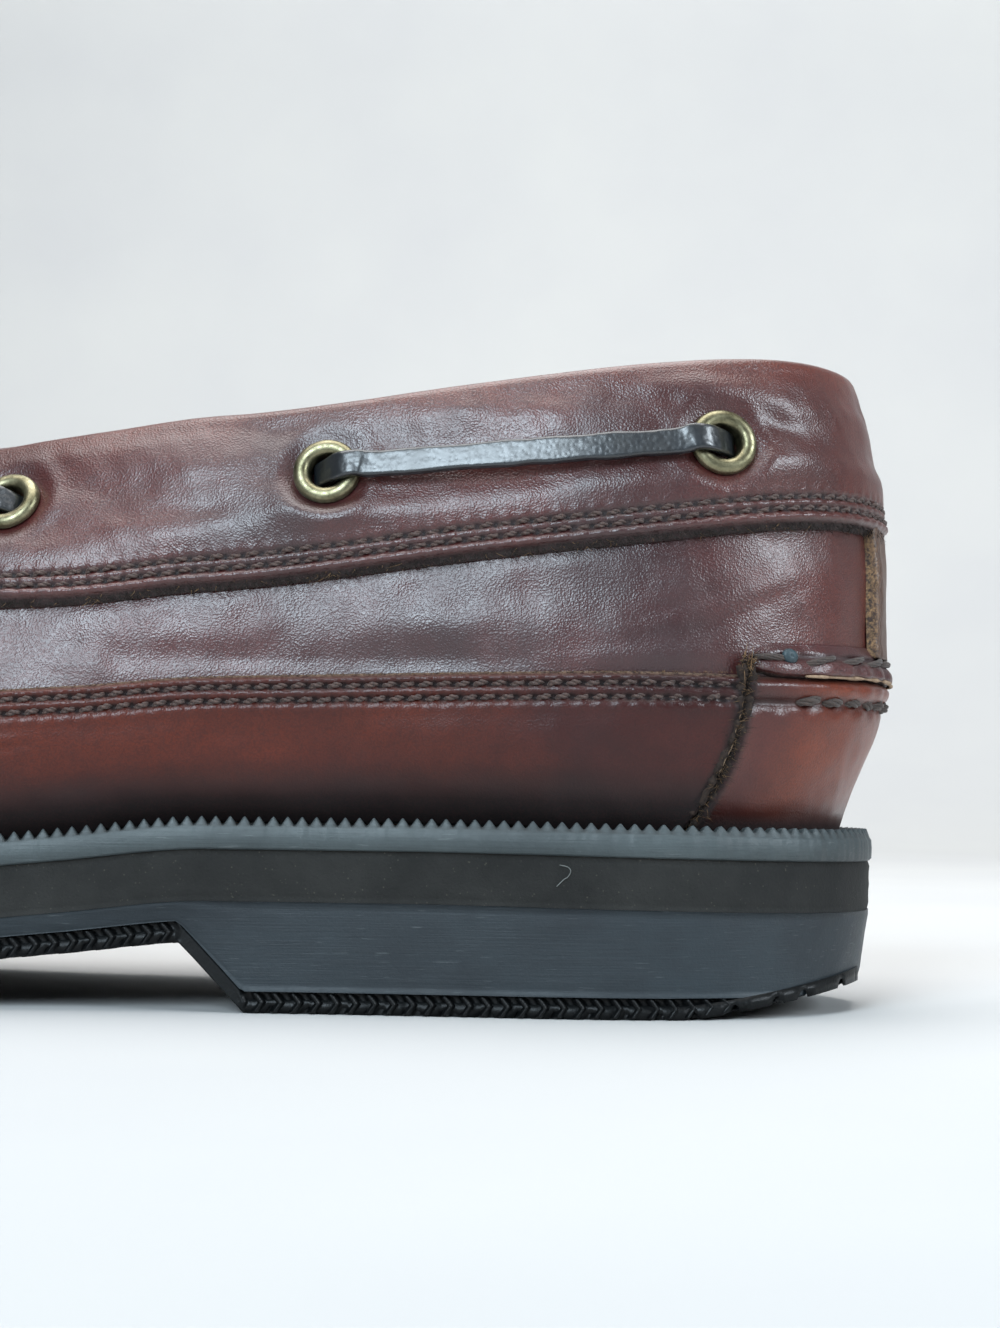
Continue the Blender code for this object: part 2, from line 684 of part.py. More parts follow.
def build_heel_patch(finishes):
    """The counter's patch, with the raised ridge of its hand-sewn top edge."""
    columns = 15
    gap_u = GAP / 2 / LOOP.round
    rim = HEEL_RIDGE_HEIGHT
    u_mid = np.linspace(float(patch_edge_u(np.array([BELLY_SHARE]), False)[0]) - 1,
                        float(patch_edge_u(np.array([BELLY_SHARE]), True)[0]), columns)
    top = t_at_rise(u_mid, PATCH_HEIGHT)
    rim_foot = t_at_rise(u_mid, PATCH_HEIGHT - rim)
    rim_soft = t_at_rise(u_mid, PATCH_HEIGHT - rim * 0.7)
    ts = np.concatenate([ramp(np.zeros(columns), rim_foot, 6),
                         rim_soft[:, None], ramp(rim_soft, top, 3)[:, 1:]], axis=1)
    share = np.linspace(0, 1, columns)[:, None]
    low = patch_edge_u(ts[0], False)[None, :] - 1 + gap_u
    high = patch_edge_u(ts[-1], True)[None, :] - gap_u
    outer = np.zeros_like(ts)
    outer[:, 6:] = HEEL_RIDGE_PROUD
    return shell("heel_patch", low + (high - low) * share, ts, outer, -OVERLAY, finishes["wrap"])


def band_foot(us):
    row = LOOP.at(us)
    return t_at_drop(us, row[:, BAND] * BAND_HEIGHT)


def band_ends():
    """The band runs from one throat corner round the heel to the other."""
    outer = float(u_at_along(BAND_END_OUTER * LENGTH, True))
    inner = float(u_at_along(BAND_END_INNER * LENGTH, False))
    return inner - 1, outer


def build_band(finishes):
    """The collar band with its eyestays, from the outer throat round the heel."""
    us = round_shoe(*band_ends())
    ts = ramp(band_foot(us), np.ones(len(us)), BAND_ROWS)
    return shell("collar_band", grid_u(us, BAND_ROWS), ts, 0.0, -OVERLAY, finishes["leather"])


def build_back_stay(finishes):
    """The upright strip over the seam at the back, between ridge and band."""
    half = BACK_STAY_WIDTH / 2
    columns, rows = 7, 5
    across = np.linspace(-half, half, columns)
    us_outer = np.interp(np.abs(across), LOOP.at(np.linspace(0, 0.1, 60))[:, ACROSS] * BALL_WIDTH / 2,
                         np.linspace(0, 0.1, 60))
    us = us_outer * np.sign(across)
    foot = t_at_rise(us, PATCH_HEIGHT + GAP)
    top = t_at_drop(us, LOOP.at(us)[:, BAND] * BAND_HEIGHT + GAP)
    return shell("back_stay", grid_u(us, rows), ramp(foot, top, rows), 0.0, -OVERLAY,
                 finishes["stay"])


def plug_edges(places):
    """Both sides' points of the wrap's top edge at places along the shoe."""
    sides = []
    for outer in (True, False):
        sides.append(form_point(u_at_along(places, outer), 1.0))
    return sides


def build_plug(finishes):
    """The vamp's plug: a crowned sheet inside the wrap's top edge, straight at the throat."""
    back = PLUG_START * LENGTH
    tip = float(form_point(TOE_U, 1.0)[1]) - PLUG_INSET
    columns, stations = 7, 15
    turn = np.linspace(0, math.pi / 2, stations)
    places = back + (tip - back) * np.sin(turn)
    outer_edge, inner_edge = plug_edges(places + PLUG_INSET * np.sin(turn))
    tops, feet = [], []
    for i in range(stations - 1):
        width = outer_edge[i, 0] - inner_edge[i, 0]
        inset = min(PLUG_INSET, width * 0.2)
        share = np.linspace(inset / width, 1 - inset / width, columns)
        fade = math.cos(turn[i]) ** 0.5
        crown = PLUG_CROWN * fade * np.minimum(1, width / 60) * 4 * share * (1 - share) * 0.55
        line = inner_edge[i] + (outer_edge[i] - inner_edge[i]) * share[:, None]
        line[:, 1] = places[i]
        line[:, 2] += crown
        tops.append(line)
        feet.append(line - np.array([0, 0, PLUG_THICKNESS]))
    vertices = [p for line in tops for p in line] + [p for line in feet for p in line]
    lines = stations - 1
    below = lines * columns
    faces = []
    for i in range(lines - 1):
        for j in range(columns - 1):
            a = i * columns + j
            faces.append((a, a + 1, a + columns + 1, a + columns))
            faces.append((a + below, a + columns + below, a + columns + 1 + below, a + 1 + below))
        for j in (0, columns - 1):
            a = i * columns + j
            faces.append((a, a + columns, a + columns + below, a + below))
    for i in (0, lines - 1):
        for j in range(columns - 1):
            a = i * columns + j
            faces.append((a, a + 1, a + 1 + below, a + below))
    return new_object("plug", world(vertices), faces, finishes["leather"])


def build_tongue(finishes):
    """An arched sheet from under the plug up through the throat."""
    columns, rows = 7, 11
    places = [row[0] for row in TONGUE][::-1]
    heights = monotone(places, [row[1] for row in TONGUE][::-1])
    widths = monotone(places, [row[2] for row in TONGUE][::-1])
    base = welt_top(BALL_ALONG * LENGTH)
    shares = np.linspace(places[0], places[-1], rows)
    tops, feet = [], []
    for share in shares:
        half = widths(share) * TONGUE_WIDTH / 2
        xs = np.linspace(-half, half, columns)
        zs = base + heights(share) * UPPER_HEIGHT - TONGUE_ARCH * xs**2
        line = np.stack([xs, np.full(columns, share * LENGTH), zs], -1)
        climb = heights(share + SLOPE_STEP) - heights(share - SLOPE_STEP)
        slope = climb * UPPER_HEIGHT / (2 * SLOPE_STEP * LENGTH)
        normals = np.stack([2 * TONGUE_ARCH * xs, np.full(columns, -slope), np.ones(columns)], -1)
        normals /= np.linalg.norm(normals, axis=1)[:, None]
        tops.append(line)
        feet.append(line - normals * TONGUE_THICKNESS)
    vertices = np.concatenate([np.concatenate(tops), np.concatenate(feet)])
    below = rows * columns
    faces = []
    for i in range(rows - 1):
        for j in range(columns - 1):
            a = i * columns + j
            faces.append((a, a + 1, a + columns + 1, a + columns))
            faces.append((a + below, a + columns + below, a + columns + 1 + below, a + 1 + below))
        for j in (0, columns - 1):
            a = i * columns + j
            faces.append((a, a + columns, a + columns + below, a + below))
    for i in (0, rows - 1):
        for j in range(columns - 1):
            a = i * columns + j
            faces.append((a, a + 1, a + 1 + below, a + below))
    return new_object("tongue", world(vertices), faces, finishes["leather"])


def eyelet_place(index, outer):
    """(u, t) of an eyelet on the outer or inner side."""
    along, drop = EYELETS[index]
    u = float(u_at_along(along * LENGTH, outer))
    return u, float(t_at_drop(u, drop * BAND_HEIGHT)[0])


def turned(profile, steps):
    """Rings of a profile of (radius, height) turned about the local Z axis."""
    rings = []
    for k in range(steps):
        turn = 2 * math.pi * k / steps
        rings.append([(r * math.cos(turn), r * math.sin(turn), h) for r, h in profile])
    return rings


def place_on_form(item, u, t, out=0.0):
    """Puts an object's local Z axis along the form's normal at (u, t)."""
    point = world(skin(u, t, out))
    normal = form_normal(u, t)
    direction = Vector((normal[0], -normal[1], normal[2]))
    item.location = Vector(point)
    item.rotation_mode = "QUATERNION"
    item.rotation_quaternion = direction.to_track_quat("Z", "Y")
    return item


def build_eyelets(finishes):
    hole, flange = EYELET_HOLE / 2, EYELET_FLANGE / 2
    barrel = hole + EYELET_BARREL_WALL
    depth = OVERLAY + GAP + UPPER_WALL
    profile = [
        (hole, -depth), (barrel, -depth), (barrel, EYELET_SEAT), (flange, EYELET_SEAT),
        (flange - 0.5, EYELET_RISE), (hole + 0.5, EYELET_RISE),
    ]
    rings = turned(profile, SIDES_ROUND_HOLE)
    points = np.array(rings).reshape(-1, 3) * MM
    faces = tube_faces(SIDES_ROUND_HOLE, len(profile), True)
    for side, outer in (("outer", True), ("inner", False)):
        for index in range(len(EYELETS)):
            item = new_object(f"eyelet_{side}_{index + 1}", points, faces, finishes["brass"])
            place_on_form(item, *eyelet_place(index, outer))


def cut_holes(targets):
    """Cuts every eyelet's hole through the collar band and the wall behind it."""
    radius, reach = EYELET_HOLE / 2 + EYELET_BARREL_WALL + GAP, 7.0
    profile = [(0, -reach), (radius, -reach), (radius, reach), (0, reach)]
    rings = turned(profile[1:3], SIDES_ROUND_HOLE)
    points = np.array(rings).reshape(-1, 3) * MM
    sides = SIDES_ROUND_HOLE
    faces = [(2 * k, 2 * ((k + 1) % sides), 2 * ((k + 1) % sides) + 1, 2 * k + 1) for k in range(sides)]
    faces += [tuple(2 * k for k in reversed(range(sides))), tuple(2 * k + 1 for k in range(sides))]
    for outer in (True, False):
        for index in range(len(EYELETS)):
            cutter = new_object(f"cutter_{index}_{outer}", points, faces, targets[0].data.materials[0])
            place_on_form(cutter, *eyelet_place(index, outer))
            cutter.hide_render = True
            cutter.display_type = "WIRE"
            for target in targets:
                cut = target.modifiers.new("eyelet hole", "BOOLEAN")
                cut.operation = "DIFFERENCE"
                cut.object = cutter


def ribbon(name, path, faces_out, finish):
    """A flat lace along a path of (across, along, height); faces_out points off its face."""
    along = np.gradient(path, axis=0)
    along /= np.linalg.norm(along, axis=1)[:, None]
    out = faces_out - along * np.sum(faces_out * along, axis=1)[:, None]
    out /= np.linalg.norm(out, axis=1)[:, None]
    side = np.cross(along, out)
    half_w, half_t = LACE_WIDTH / 2, LACE_THICKNESS / 2
    corners = [(-half_w, -half_t), (-half_w, half_t), (half_w, half_t), (half_w, -half_t)]
    rings = np.stack([path + side * a + out * b for a, b in corners], axis=1)
    return new_object(name, world(rings.reshape(-1, 3)),
                      tube_faces(len(path), len(corners), False), finish)


def turn_in_eyelet(centre, normal, toward, clear):
    """Points of a lace that comes up through an eyelet and bends over its rim."""
    along = toward - centre
    along -= normal * np.dot(along, normal)
    along /= np.linalg.norm(along)
    depth = OVERLAY + GAP + UPPER_WALL
    return [
        centre - normal * depth,
        centre + normal * 0.35 * clear + along * 0.1,
        centre + normal * 0.82 * clear + along * 0.8,
        centre + normal * clear + along * EYELET_HOLE * 0.45,
    ]


def build_side_laces(finishes):
    """The lace shows outside the collar from one eyelet to the next, and turns in at both."""
    clear = EYELET_RISE + GAP + LACE_THICKNESS / 2
    for side, outer in (("outer", True), ("inner", False)):
        for number, (first, second) in enumerate(SIDE_LACES):
            (u1, t1), (u2, t2) = eyelet_place(first, outer), eyelet_place(second, outer)
            near, away = form_normal(u1, t1), form_normal(u2, t2)
            start, end = skin(u1, t1, 0.0), skin(u2, t2, 0.0)
            edge = EYELET_FLANGE * 0.75 / np.linalg.norm(end - start)
            shares = np.linspace(edge, 1 - edge, 6)
            middle = [skin(u1 + (u2 - u1) * k, t1 + (t2 - t1) * k, clear) for k in shares]
            points = (
                turn_in_eyelet(start, near, middle[0], clear + 0.1)
                + middle
                + turn_in_eyelet(end, away, middle[-1], clear + 0.1)[::-1]
            )
            path = np.array(points)
            place = np.linspace(0, 1, len(path))[:, None]
            chord = (end - start) / np.linalg.norm(end - start)
            turn_in, turn_out = np.clip(1 - place / 0.2, 0, 1), np.clip((place - 0.8) / 0.2, 0, 1)
            facing = near * (1 - place) + away * place - chord * turn_in + chord * turn_out
            ribbon(f"lace_{side}_{number + 1}", path, facing, finishes["lace"])


def build_throat_laces(finishes):
    """Two bars across the throat, one for each pair of throat eyelets."""
    clear = EYELET_RISE + GAP + LACE_THICKNESS / 2
    for number, index in enumerate(THROAT_EYELETS):
        halves = []
        for outer in (True, False):
            u, t = eyelet_place(index, outer)
            centre, normal = skin(u, t, 0.0), form_normal(u, t)
            over = [
                skin(u, t + (1 - t) * share, clear + lift)
                for share, lift in ((0.55, 0.8), (1.0, 0.5))
            ]
            halves.append(turn_in_eyelet(centre, normal, over[0], clear + 0.9) + over)
        start, end = halves[0][-1], halves[1][-1]
        across = [start + (end - start) * share for share in (0.28, 0.5, 0.72)]
        for point, arch in zip(across, (0.8, 1.0, 0.8)):
            point[2] += arch * LACE_ARCH
        path = np.array(halves[0] + across + halves[1][::-1])
        place = np.linspace(-1, 1, len(path))[:, None]
        lean = np.array([1.0, 0.0, 0.0]) * -np.sign(place) * np.clip(np.abs(place) - 0.2, 0, 1) * 1.6
        ribbon(f"lace_throat_{number + 1}", path, np.array([0.0, 0.0, 1.0]) + lean, finishes["lace"])


def centre_on_floor():
    """Moves the shoe so that the origin is under the middle of its box, on the floor."""
    bpy.context.view_layer.update()
    shown = [item for item in bpy.data.objects if not item.hide_render]
    corners = np.array([item.matrix_world @ v.co for item in shown for v in item.data.vertices])
    low, high = corners.min(0), corners.max(0)
    shift = Vector((-(low[0] + high[0]) / 2, -(low[1] + high[1]) / 2, -low[2]))
    for item in bpy.data.objects:
        item.location = item.location + shift
    bpy.context.view_layer.update()


def main():
    clear_scene()
    finishes = {
        "tread": material("tread rubber", (0.012, 0.013, 0.014), 0.6),
        "outsole": material("blue-grey rubber", (0.045, 0.063, 0.076), 0.55),
        "midsole": material("dark foam", (0.030, 0.030, 0.027), 0.9),
        "welt": material("grey welt rubber", (0.090, 0.105, 0.105), 0.5),
        "insole": material("insole leather", (0.25, 0.14, 0.08), 0.7),
        "leather": material("dark brown leather", (0.130, 0.058, 0.050), 0.35),
        "wrap": material("red-brown leather", (0.150, 0.045, 0.024), 0.35),
        "stay": material("back stay leather", (0.16, 0.10, 0.07), 0.6),
        "brass": material("aged brass", (0.42, 0.35, 0.16), 0.35, 1.0),
        "lace": material("dark lace leather", (0.020, 0.026, 0.030), 0.45),
    }
    build_sole(finishes)
    upper = build_upper(finishes)
    build_wrap(finishes)
    build_heel_patch(finishes)
    band = build_band(finishes)
    build_back_stay(finishes)
    build_plug(finishes)
    build_tongue(finishes)
    build_eyelets(finishes)
    cut_holes([upper, band])
    build_side_laces(finishes)
    build_throat_laces(finishes)
    centre_on_floor()


main()
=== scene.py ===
"""Looks of the boat shoe: leather, stitching, lace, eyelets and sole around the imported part.

The form is worked in millimetres as (across, along, height): across towards the outer
side, along from the back edge of the sole towards the toe, height over the floor.
"""

import math

import bpy
import numpy as np
from mathutils import Matrix, Vector

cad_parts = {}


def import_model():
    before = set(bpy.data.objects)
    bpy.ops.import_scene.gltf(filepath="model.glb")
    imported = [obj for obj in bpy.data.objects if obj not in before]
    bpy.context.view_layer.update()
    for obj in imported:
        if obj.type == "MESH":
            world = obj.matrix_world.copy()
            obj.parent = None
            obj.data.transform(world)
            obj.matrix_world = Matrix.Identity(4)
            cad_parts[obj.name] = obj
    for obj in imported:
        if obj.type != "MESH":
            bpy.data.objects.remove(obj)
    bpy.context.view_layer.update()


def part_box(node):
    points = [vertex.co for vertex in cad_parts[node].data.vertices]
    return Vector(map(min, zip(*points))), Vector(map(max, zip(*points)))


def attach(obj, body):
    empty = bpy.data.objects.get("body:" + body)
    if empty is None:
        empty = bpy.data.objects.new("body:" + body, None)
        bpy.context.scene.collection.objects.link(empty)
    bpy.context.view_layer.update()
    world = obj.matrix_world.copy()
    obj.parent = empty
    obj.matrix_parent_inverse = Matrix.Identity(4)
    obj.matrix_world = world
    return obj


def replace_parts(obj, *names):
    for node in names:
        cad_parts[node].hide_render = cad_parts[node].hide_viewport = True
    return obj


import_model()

MM = 0.001
LENGTH = 300.0
BALL_WIDTH = 108.0
UPPER_HEIGHT = 72.0
OVERLAY = 1.5
GAP = 0.3

# Sole
TREAD = 3.2
OUTSOLE = 2.6
HEEL_LIFT = 10.2
MIDSOLE = 7.2
WELT = 3.3
TOE_SPRING = 9.0
HEEL_BEVEL = 5.0
HEEL_FLAT_START = 0.090
BREAST_FOOT = 0.302
BREAST_TOP = 0.334
SOLE_TAPER = 1.5
FEATHER_INSET = 5.0

# Upper
BAND_HEIGHT = 27.6
WRAP_HEIGHT = 20.8
WRAP_HEEL_RISE = 2.8
WRAP_LEVEL_START = 0.38
WRAP_RISE_START = 0.560
WRAP_RISE_RUN = 0.117
PATCH_HEIGHT = 27.4
PATCH_TOP_ALONG = 18.0
PATCH_FOOT_ALONG = 27.5
PATCH_REACH_U = 0.12
SEAM_CURVE = 2.0
HEEL_TUCK_END = 0.12
WRAP_EASE = 0.42
BAND_END_OUTER = 0.672
BAND_END_INNER = 0.688

# The sole's edge and the upper's top edge once round the shoe, from the back of the heel
# by the outer side and the toe, as shares of LENGTH, half BALL_WIDTH, UPPER_HEIGHT,
# OVERLAY and BAND_HEIGHT, with lean in degrees.
SECTIONS = [
    # along, across, top_along, top_across, rise, lean, belly, belly_rise, band
    (0.000, 0.000, 0.011, 0.000, 1.000, 66, 1.90, 0.36, 0.94),
    (0.030, 0.444, 0.040, 0.365, 1.000, 68, 1.60, 0.33, 0.96),
    (0.100, 0.657, 0.104, 0.540, 0.972, 70, 1.20, 0.28, 1.00),
    (0.207, 0.704, 0.203, 0.590, 0.915, 70, 1.20, 0.25, 1.00),
    (0.317, 0.741, 0.312, 0.580, 0.862, 66, 1.30, 0.24, 1.03),
    (0.417, 0.806, 0.413, 0.515, 0.854, 58, 1.50, 0.22, 1.08),
    (0.500, 0.889, 0.493, 0.426, 0.866, 48, 1.50, 0.20, 1.12),
    (0.560, 0.948, 0.547, 0.324, 0.880, 38, 1.40, 0.19, 1.25),
    (0.627, 0.996, 0.630, 0.287, 0.685, 28, 1.30, 0.20, 0.90),
    (0.683, 1.009, 0.677, 0.556, 0.571, 32, 1.20, 0.21, 0.20),
    (0.773, 0.972, 0.760, 0.657, 0.522, 34, 1.00, 0.23, 0.15),
    (0.873, 0.796, 0.850, 0.583, 0.462, 36, 0.80, 0.23, 0.15),
    (0.953, 0.463, 0.918, 0.352, 0.405, 38, 0.70, 0.21, 0.15),
    (1.000, -0.093, 0.946, -0.083, 0.375, 40, 0.70, 0.20, 0.15),
    (0.967, -0.556, 0.927, -0.463, 0.395, 38, 0.70, 0.21, 0.15),
    (0.900, -0.806, 0.863, -0.648, 0.452, 36, 0.80, 0.22, 0.15),
    (0.810, -0.954, 0.787, -0.704, 0.512, 34, 1.00, 0.23, 0.15),
    (0.707, -0.981, 0.693, -0.593, 0.571, 32, 1.30, 0.22, 0.20),
    (0.633, -0.926, 0.632, -0.287, 0.685, 28, 1.80, 0.21, 0.90),
    (0.557, -0.815, 0.547, -0.324, 0.880, 38, 2.30, 0.22, 1.25),
    (0.490, -0.722, 0.490, -0.417, 0.867, 50, 2.60, 0.24, 1.12),
    (0.407, -0.657, 0.410, -0.500, 0.855, 60, 2.70, 0.25, 1.08),
    (0.310, -0.639, 0.310, -0.556, 0.863, 66, 2.20, 0.26, 1.03),
    (0.207, -0.667, 0.203, -0.580, 0.915, 70, 1.50, 0.27, 1.00),
    (0.100, -0.639, 0.104, -0.530, 0.972, 70, 1.20, 0.29, 1.00),
    (0.030, -0.435, 0.040, -0.357, 1.000, 68, 1.60, 0.33, 0.96),
]
(ALONG, ACROSS, TOP_ALONG, TOP_ACROSS, RISE, LEAN, BELLY, BELLY_RISE, BAND) = range(9)

RIDE = [
    # along, lift, spring
    (0.000, 0.89, 0.00),
    (0.100, 0.95, 0.00),
    (0.230, 1.00, 0.00),
    (0.320, 1.00, 0.00),
    (0.390, 0.81, 0.00),
    (0.420, 0.72, 0.00),
    (0.500, 0.42, 0.00),
    (0.580, 0.12, 0.00),
    (0.640, 0.00, 0.00),
    (0.760, 0.00, 0.00),
    (0.860, 0.00, 0.22),
    (1.000, 0.00, 1.00),
]

EYELETS = [
    # along, drop
    (0.078, 0.52),
    (0.264, 0.44),
    (0.429, 0.45),
    (0.515, 0.42),
    (0.560, 0.34),
    (0.597, 0.33),
]
SIDE_LACES = [(0, 1), (2, 3)]
THROAT_EYELETS = (4, 5)

TONGUE = [
    # along, rise, width
    (0.668, 0.602, 0.80),
    (0.630, 0.662, 0.88),
    (0.587, 0.765, 0.91),
    (0.543, 0.858, 0.80),
    (0.517, 0.925, 0.70),
    (0.493, 0.968, 0.72),
    (0.450, 0.992, 0.80),
    (0.434, 0.994, 0.62),
]
TONGUE_WIDTH = 46.0
TONGUE_ARCH = 0.019
PLUG_CROWN = 7.0

BELLY_SHARE = 0.34


def monotone(xs, ys):
    """A smooth curve through points that never overshoots them."""
    xs, ys = np.array(xs, float), np.array(ys, float)
    steps, slopes = np.diff(xs), np.diff(ys) / np.diff(xs)
    tangents = np.zeros(len(xs))
    for i in range(1, len(xs) - 1):
        if slopes[i - 1] * slopes[i] > 0:
            w1, w2 = 2 * steps[i] + steps[i - 1], steps[i] + 2 * steps[i - 1]
            tangents[i] = (w1 + w2) / (w1 / slopes[i - 1] + w2 / slopes[i])
    tangents[0], tangents[-1] = slopes[0], slopes[-1]

    def at(x):
        x = np.clip(np.asarray(x, float), xs[0], xs[-1])
        i = np.clip(np.searchsorted(xs, x) - 1, 0, len(xs) - 2)
        h = steps[i]
        t = (x - xs[i]) / h
        return (
            ys[i] * (1 + 2 * t) * (1 - t) ** 2
            + tangents[i] * h * t * (1 - t) ** 2
            + ys[i + 1] * t * t * (3 - 2 * t)
            + tangents[i + 1] * h * t * t * (t - 1)
        )

    return at


class Loop:
    """Smooth closed curves through the columns of SECTIONS, over u from 0 to 1."""

    def __init__(self, rows):
        self.rows = np.array(rows, float)
        edge = np.stack([self.rows[:, ALONG] * LENGTH, self.rows[:, ACROSS] * BALL_WIDTH / 2], 1)
        chords = np.linalg.norm(np.roll(edge, -1, 0) - edge, axis=1)
        self.round = chords.sum()
        self.knots = np.concatenate([[0.0], np.cumsum(chords)]) / self.round
        n, h = len(self.rows), np.diff(self.knots)
        system, right = np.zeros((n, n)), np.zeros_like(self.rows)
        for i in range(n):
            before, after = h[i - 1], h[i]
            system[i, i - 1] += before / 6
            system[i, i] += (before + after) / 3
            system[i, (i + 1) % n] += after / 6
            right[i] = (self.rows[(i + 1) % n] - self.rows[i]) / after
            right[i] -= (self.rows[i] - self.rows[i - 1]) / before
        self.curved = np.linalg.solve(system, right)

    def at(self, u):
        u = np.mod(np.asarray(u, float), 1.0)
        i = np.clip(np.searchsorted(self.knots, u, side="right") - 1, 0, len(self.rows) - 1)
        j = (i + 1) % len(self.rows)
        h = self.knots[i + 1] - self.knots[i]
        b = ((u - self.knots[i]) / h)[..., None]
        a = 1 - b
        bend = ((a**3 - a) * self.curved[i] + (b**3 - b) * self.curved[j]) * (h**2)[..., None] / 6
        return a * self.rows[i] + b * self.rows[j] + bend


LOOP = Loop(SECTIONS)
ROUND = LOOP.round
TOE_U = LOOP.knots[int(np.argmax(LOOP.rows[:, ALONG]))]
LIFT = monotone([row[0] for row in RIDE], [row[1] for row in RIDE])
SPRING = monotone([row[0] for row in RIDE], [row[2] for row in RIDE])


def outsole_top(along):
    """Height of the outsole's upper face."""
    share = np.asarray(along, float) / LENGTH
    return TREAD + GAP + OUTSOLE + LIFT(share) * HEEL_LIFT + SPRING(share) * TOE_SPRING


def midsole_top(along):
    """Height of the midsole's upper face."""
    return outsole_top(along) + GAP + MIDSOLE


def welt_top(along):
    """Height of the welt's upper face."""
    return midsole_top(along) + GAP + WELT


def tread_foot(along):
    """Height of the tread's lowest face: bevelled heel, step, then the waist and toe."""
    share = np.asarray(along, float) / LENGTH
    waist = outsole_top(along) - OUTSOLE - GAP - TREAD
    bevel = HEEL_BEVEL * np.clip(1 - share / HEEL_FLAT_START, 0, 1) ** 1.2
    up_step = np.clip((share - BREAST_FOOT) / (BREAST_TOP - BREAST_FOOT), 0, 1)
    return bevel * (1 - up_step) + waist * up_step


def sole_edge(u, out=0.0):
    """(across, along) of the sole's edge moved outwards, and the outward direction."""
    here = LOOP.at(u)
    ahead, behind = LOOP.at(np.asarray(u) + 1e-4), LOOP.at(np.asarray(u) - 1e-4)
    slope_x = (ahead[..., ACROSS] - behind[..., ACROSS]) * BALL_WIDTH / 2
    slope_s = (ahead[..., ALONG] - behind[..., ALONG]) * LENGTH
    size = np.hypot(slope_x, slope_s)
    normal_x, normal_s = slope_s / size, -slope_x / size
    across = here[..., ACROSS] * BALL_WIDTH / 2 + normal_x * out
    along = here[..., ALONG] * LENGTH + normal_s * out
    return across, along, normal_x, normal_s


def hermite(start, end, leave, arrive, t):
    """A cubic from start to end with its leaving and arriving directions."""
    t = t[..., None]
    return (
        start * (1 + 2 * t) * (1 - t) ** 2
        + leave * t * (1 - t) ** 2
        + end * t * t * (3 - 2 * t)
        + arrive * t * t * (t - 1)
    )


def form_point(u, t):
    """The outer face of the upper: t from the welt (0) to the top edge (1)."""
    u, t = np.broadcast_arrays(np.asarray(u, float), np.asarray(t, float))
    row = LOOP.at(u)
    foot_x, foot_s, normal_x, normal_s = sole_edge(u, -FEATHER_INSET)
    foot = np.stack([foot_x, foot_s, welt_top(foot_s) + GAP], -1)
    belly_x, belly_s, _, _ = sole_edge(u, 0.0)
    bulge = row[..., BELLY] * OVERLAY
    belly_z = foot[..., 2] + row[..., BELLY_RISE] * UPPER_HEIGHT
    belly = np.stack([belly_x + normal_x * bulge, belly_s + normal_s * bulge, belly_z], -1)
    top_s = row[..., TOP_ALONG] * LENGTH
    top_z = welt_top(top_s) + row[..., RISE] * UPPER_HEIGHT
    top = np.stack([row[..., TOP_ACROSS] * BALL_WIDTH / 2, top_s, top_z], -1)
    lower = np.linalg.norm(belly - foot, axis=-1)[..., None]
    upper = np.linalg.norm(top - belly, axis=-1)[..., None]
    upwards = np.zeros_like(foot)
    upwards[..., 2] = 1.0
    outwards = np.stack([normal_x, normal_s, np.zeros_like(normal_x)], -1)
    tuck = np.clip(1 - row[..., ALONG] / HEEL_TUCK_END, 0, 1)[..., None]
    leave = ((0.75 - 0.43 * tuck) * outwards + (0.66 + 0.29 * tuck) * upwards) * lower
    inwards = top - belly
    inwards[..., 2] = 0
    inwards /= np.maximum(np.linalg.norm(inwards, axis=-1), 1e-6)[..., None]
    lean = np.radians(row[..., LEAN])[..., None]
    arrive = (np.cos(lean) * inwards + np.sin(lean) * upwards) * upper
    low = hermite(foot, belly, leave, upwards * lower, np.clip(t / BELLY_SHARE, 0, 1))
    high_t = np.clip((t - BELLY_SHARE) / (1 - BELLY_SHARE), 0, 1)
    high = hermite(belly, top, upwards * upper, arrive, high_t)
    return np.where((t < BELLY_SHARE)[..., None], low, high)


def form_normal(u, t):
    """The outward direction of the form at (u, t)."""
    step_u, step_t = 2e-3, 1e-3
    u = np.asarray(u, float)
    t = np.clip(np.asarray(t, float), step_t, 1 - step_t)
    step_round = form_point(u + step_u, t) - form_point(u - step_u, t)
    up_wall = form_point(u, t + step_t) - form_point(u, t - step_t)
    normal = np.cross(step_round, up_wall)
    return normal / np.linalg.norm(normal, axis=-1)[..., None]


def skin(u, t, out):
    """Points that stand out millimetres off the form."""
    u, t, out = np.broadcast_arrays(*(np.asarray(value, float) for value in (u, t, out)))
    return form_point(u, t) + form_normal(u, t) * out[..., None]


TABLE_ROWS = 90


def profile_tables(us):
    """Heights and lengths along the profile at each u, for finding t."""
    ts = np.linspace(0, 1, TABLE_ROWS)
    points = form_point(np.asarray(us)[:, None], ts[None, :])
    heights = np.maximum.accumulate(points[..., 2], axis=1)
    steps = np.linalg.norm(np.diff(points, axis=1), axis=2)
    lengths = np.concatenate([np.zeros((len(us), 1)), np.cumsum(steps, axis=1)], axis=1)
    return ts, heights, lengths


def t_at_rise(us, rise):
    """t of the place that lies rise over the foot of the wall."""
    us = np.atleast_1d(us)
    ts, heights, _ = profile_tables(us)
    rise = np.broadcast_to(rise, us.shape)
    return np.array([np.interp(h[0] + r, h, ts) for h, r in zip(heights, rise)])


def t_at_drop(us, drop):
    """t of the place that lies drop below the top edge along the wall."""
    us = np.atleast_1d(us)
    ts, _, lengths = profile_tables(us)
    drop = np.broadcast_to(drop, us.shape)
    return np.array([np.interp(line[-1] - d, line, ts) for line, d in zip(lengths, drop)])


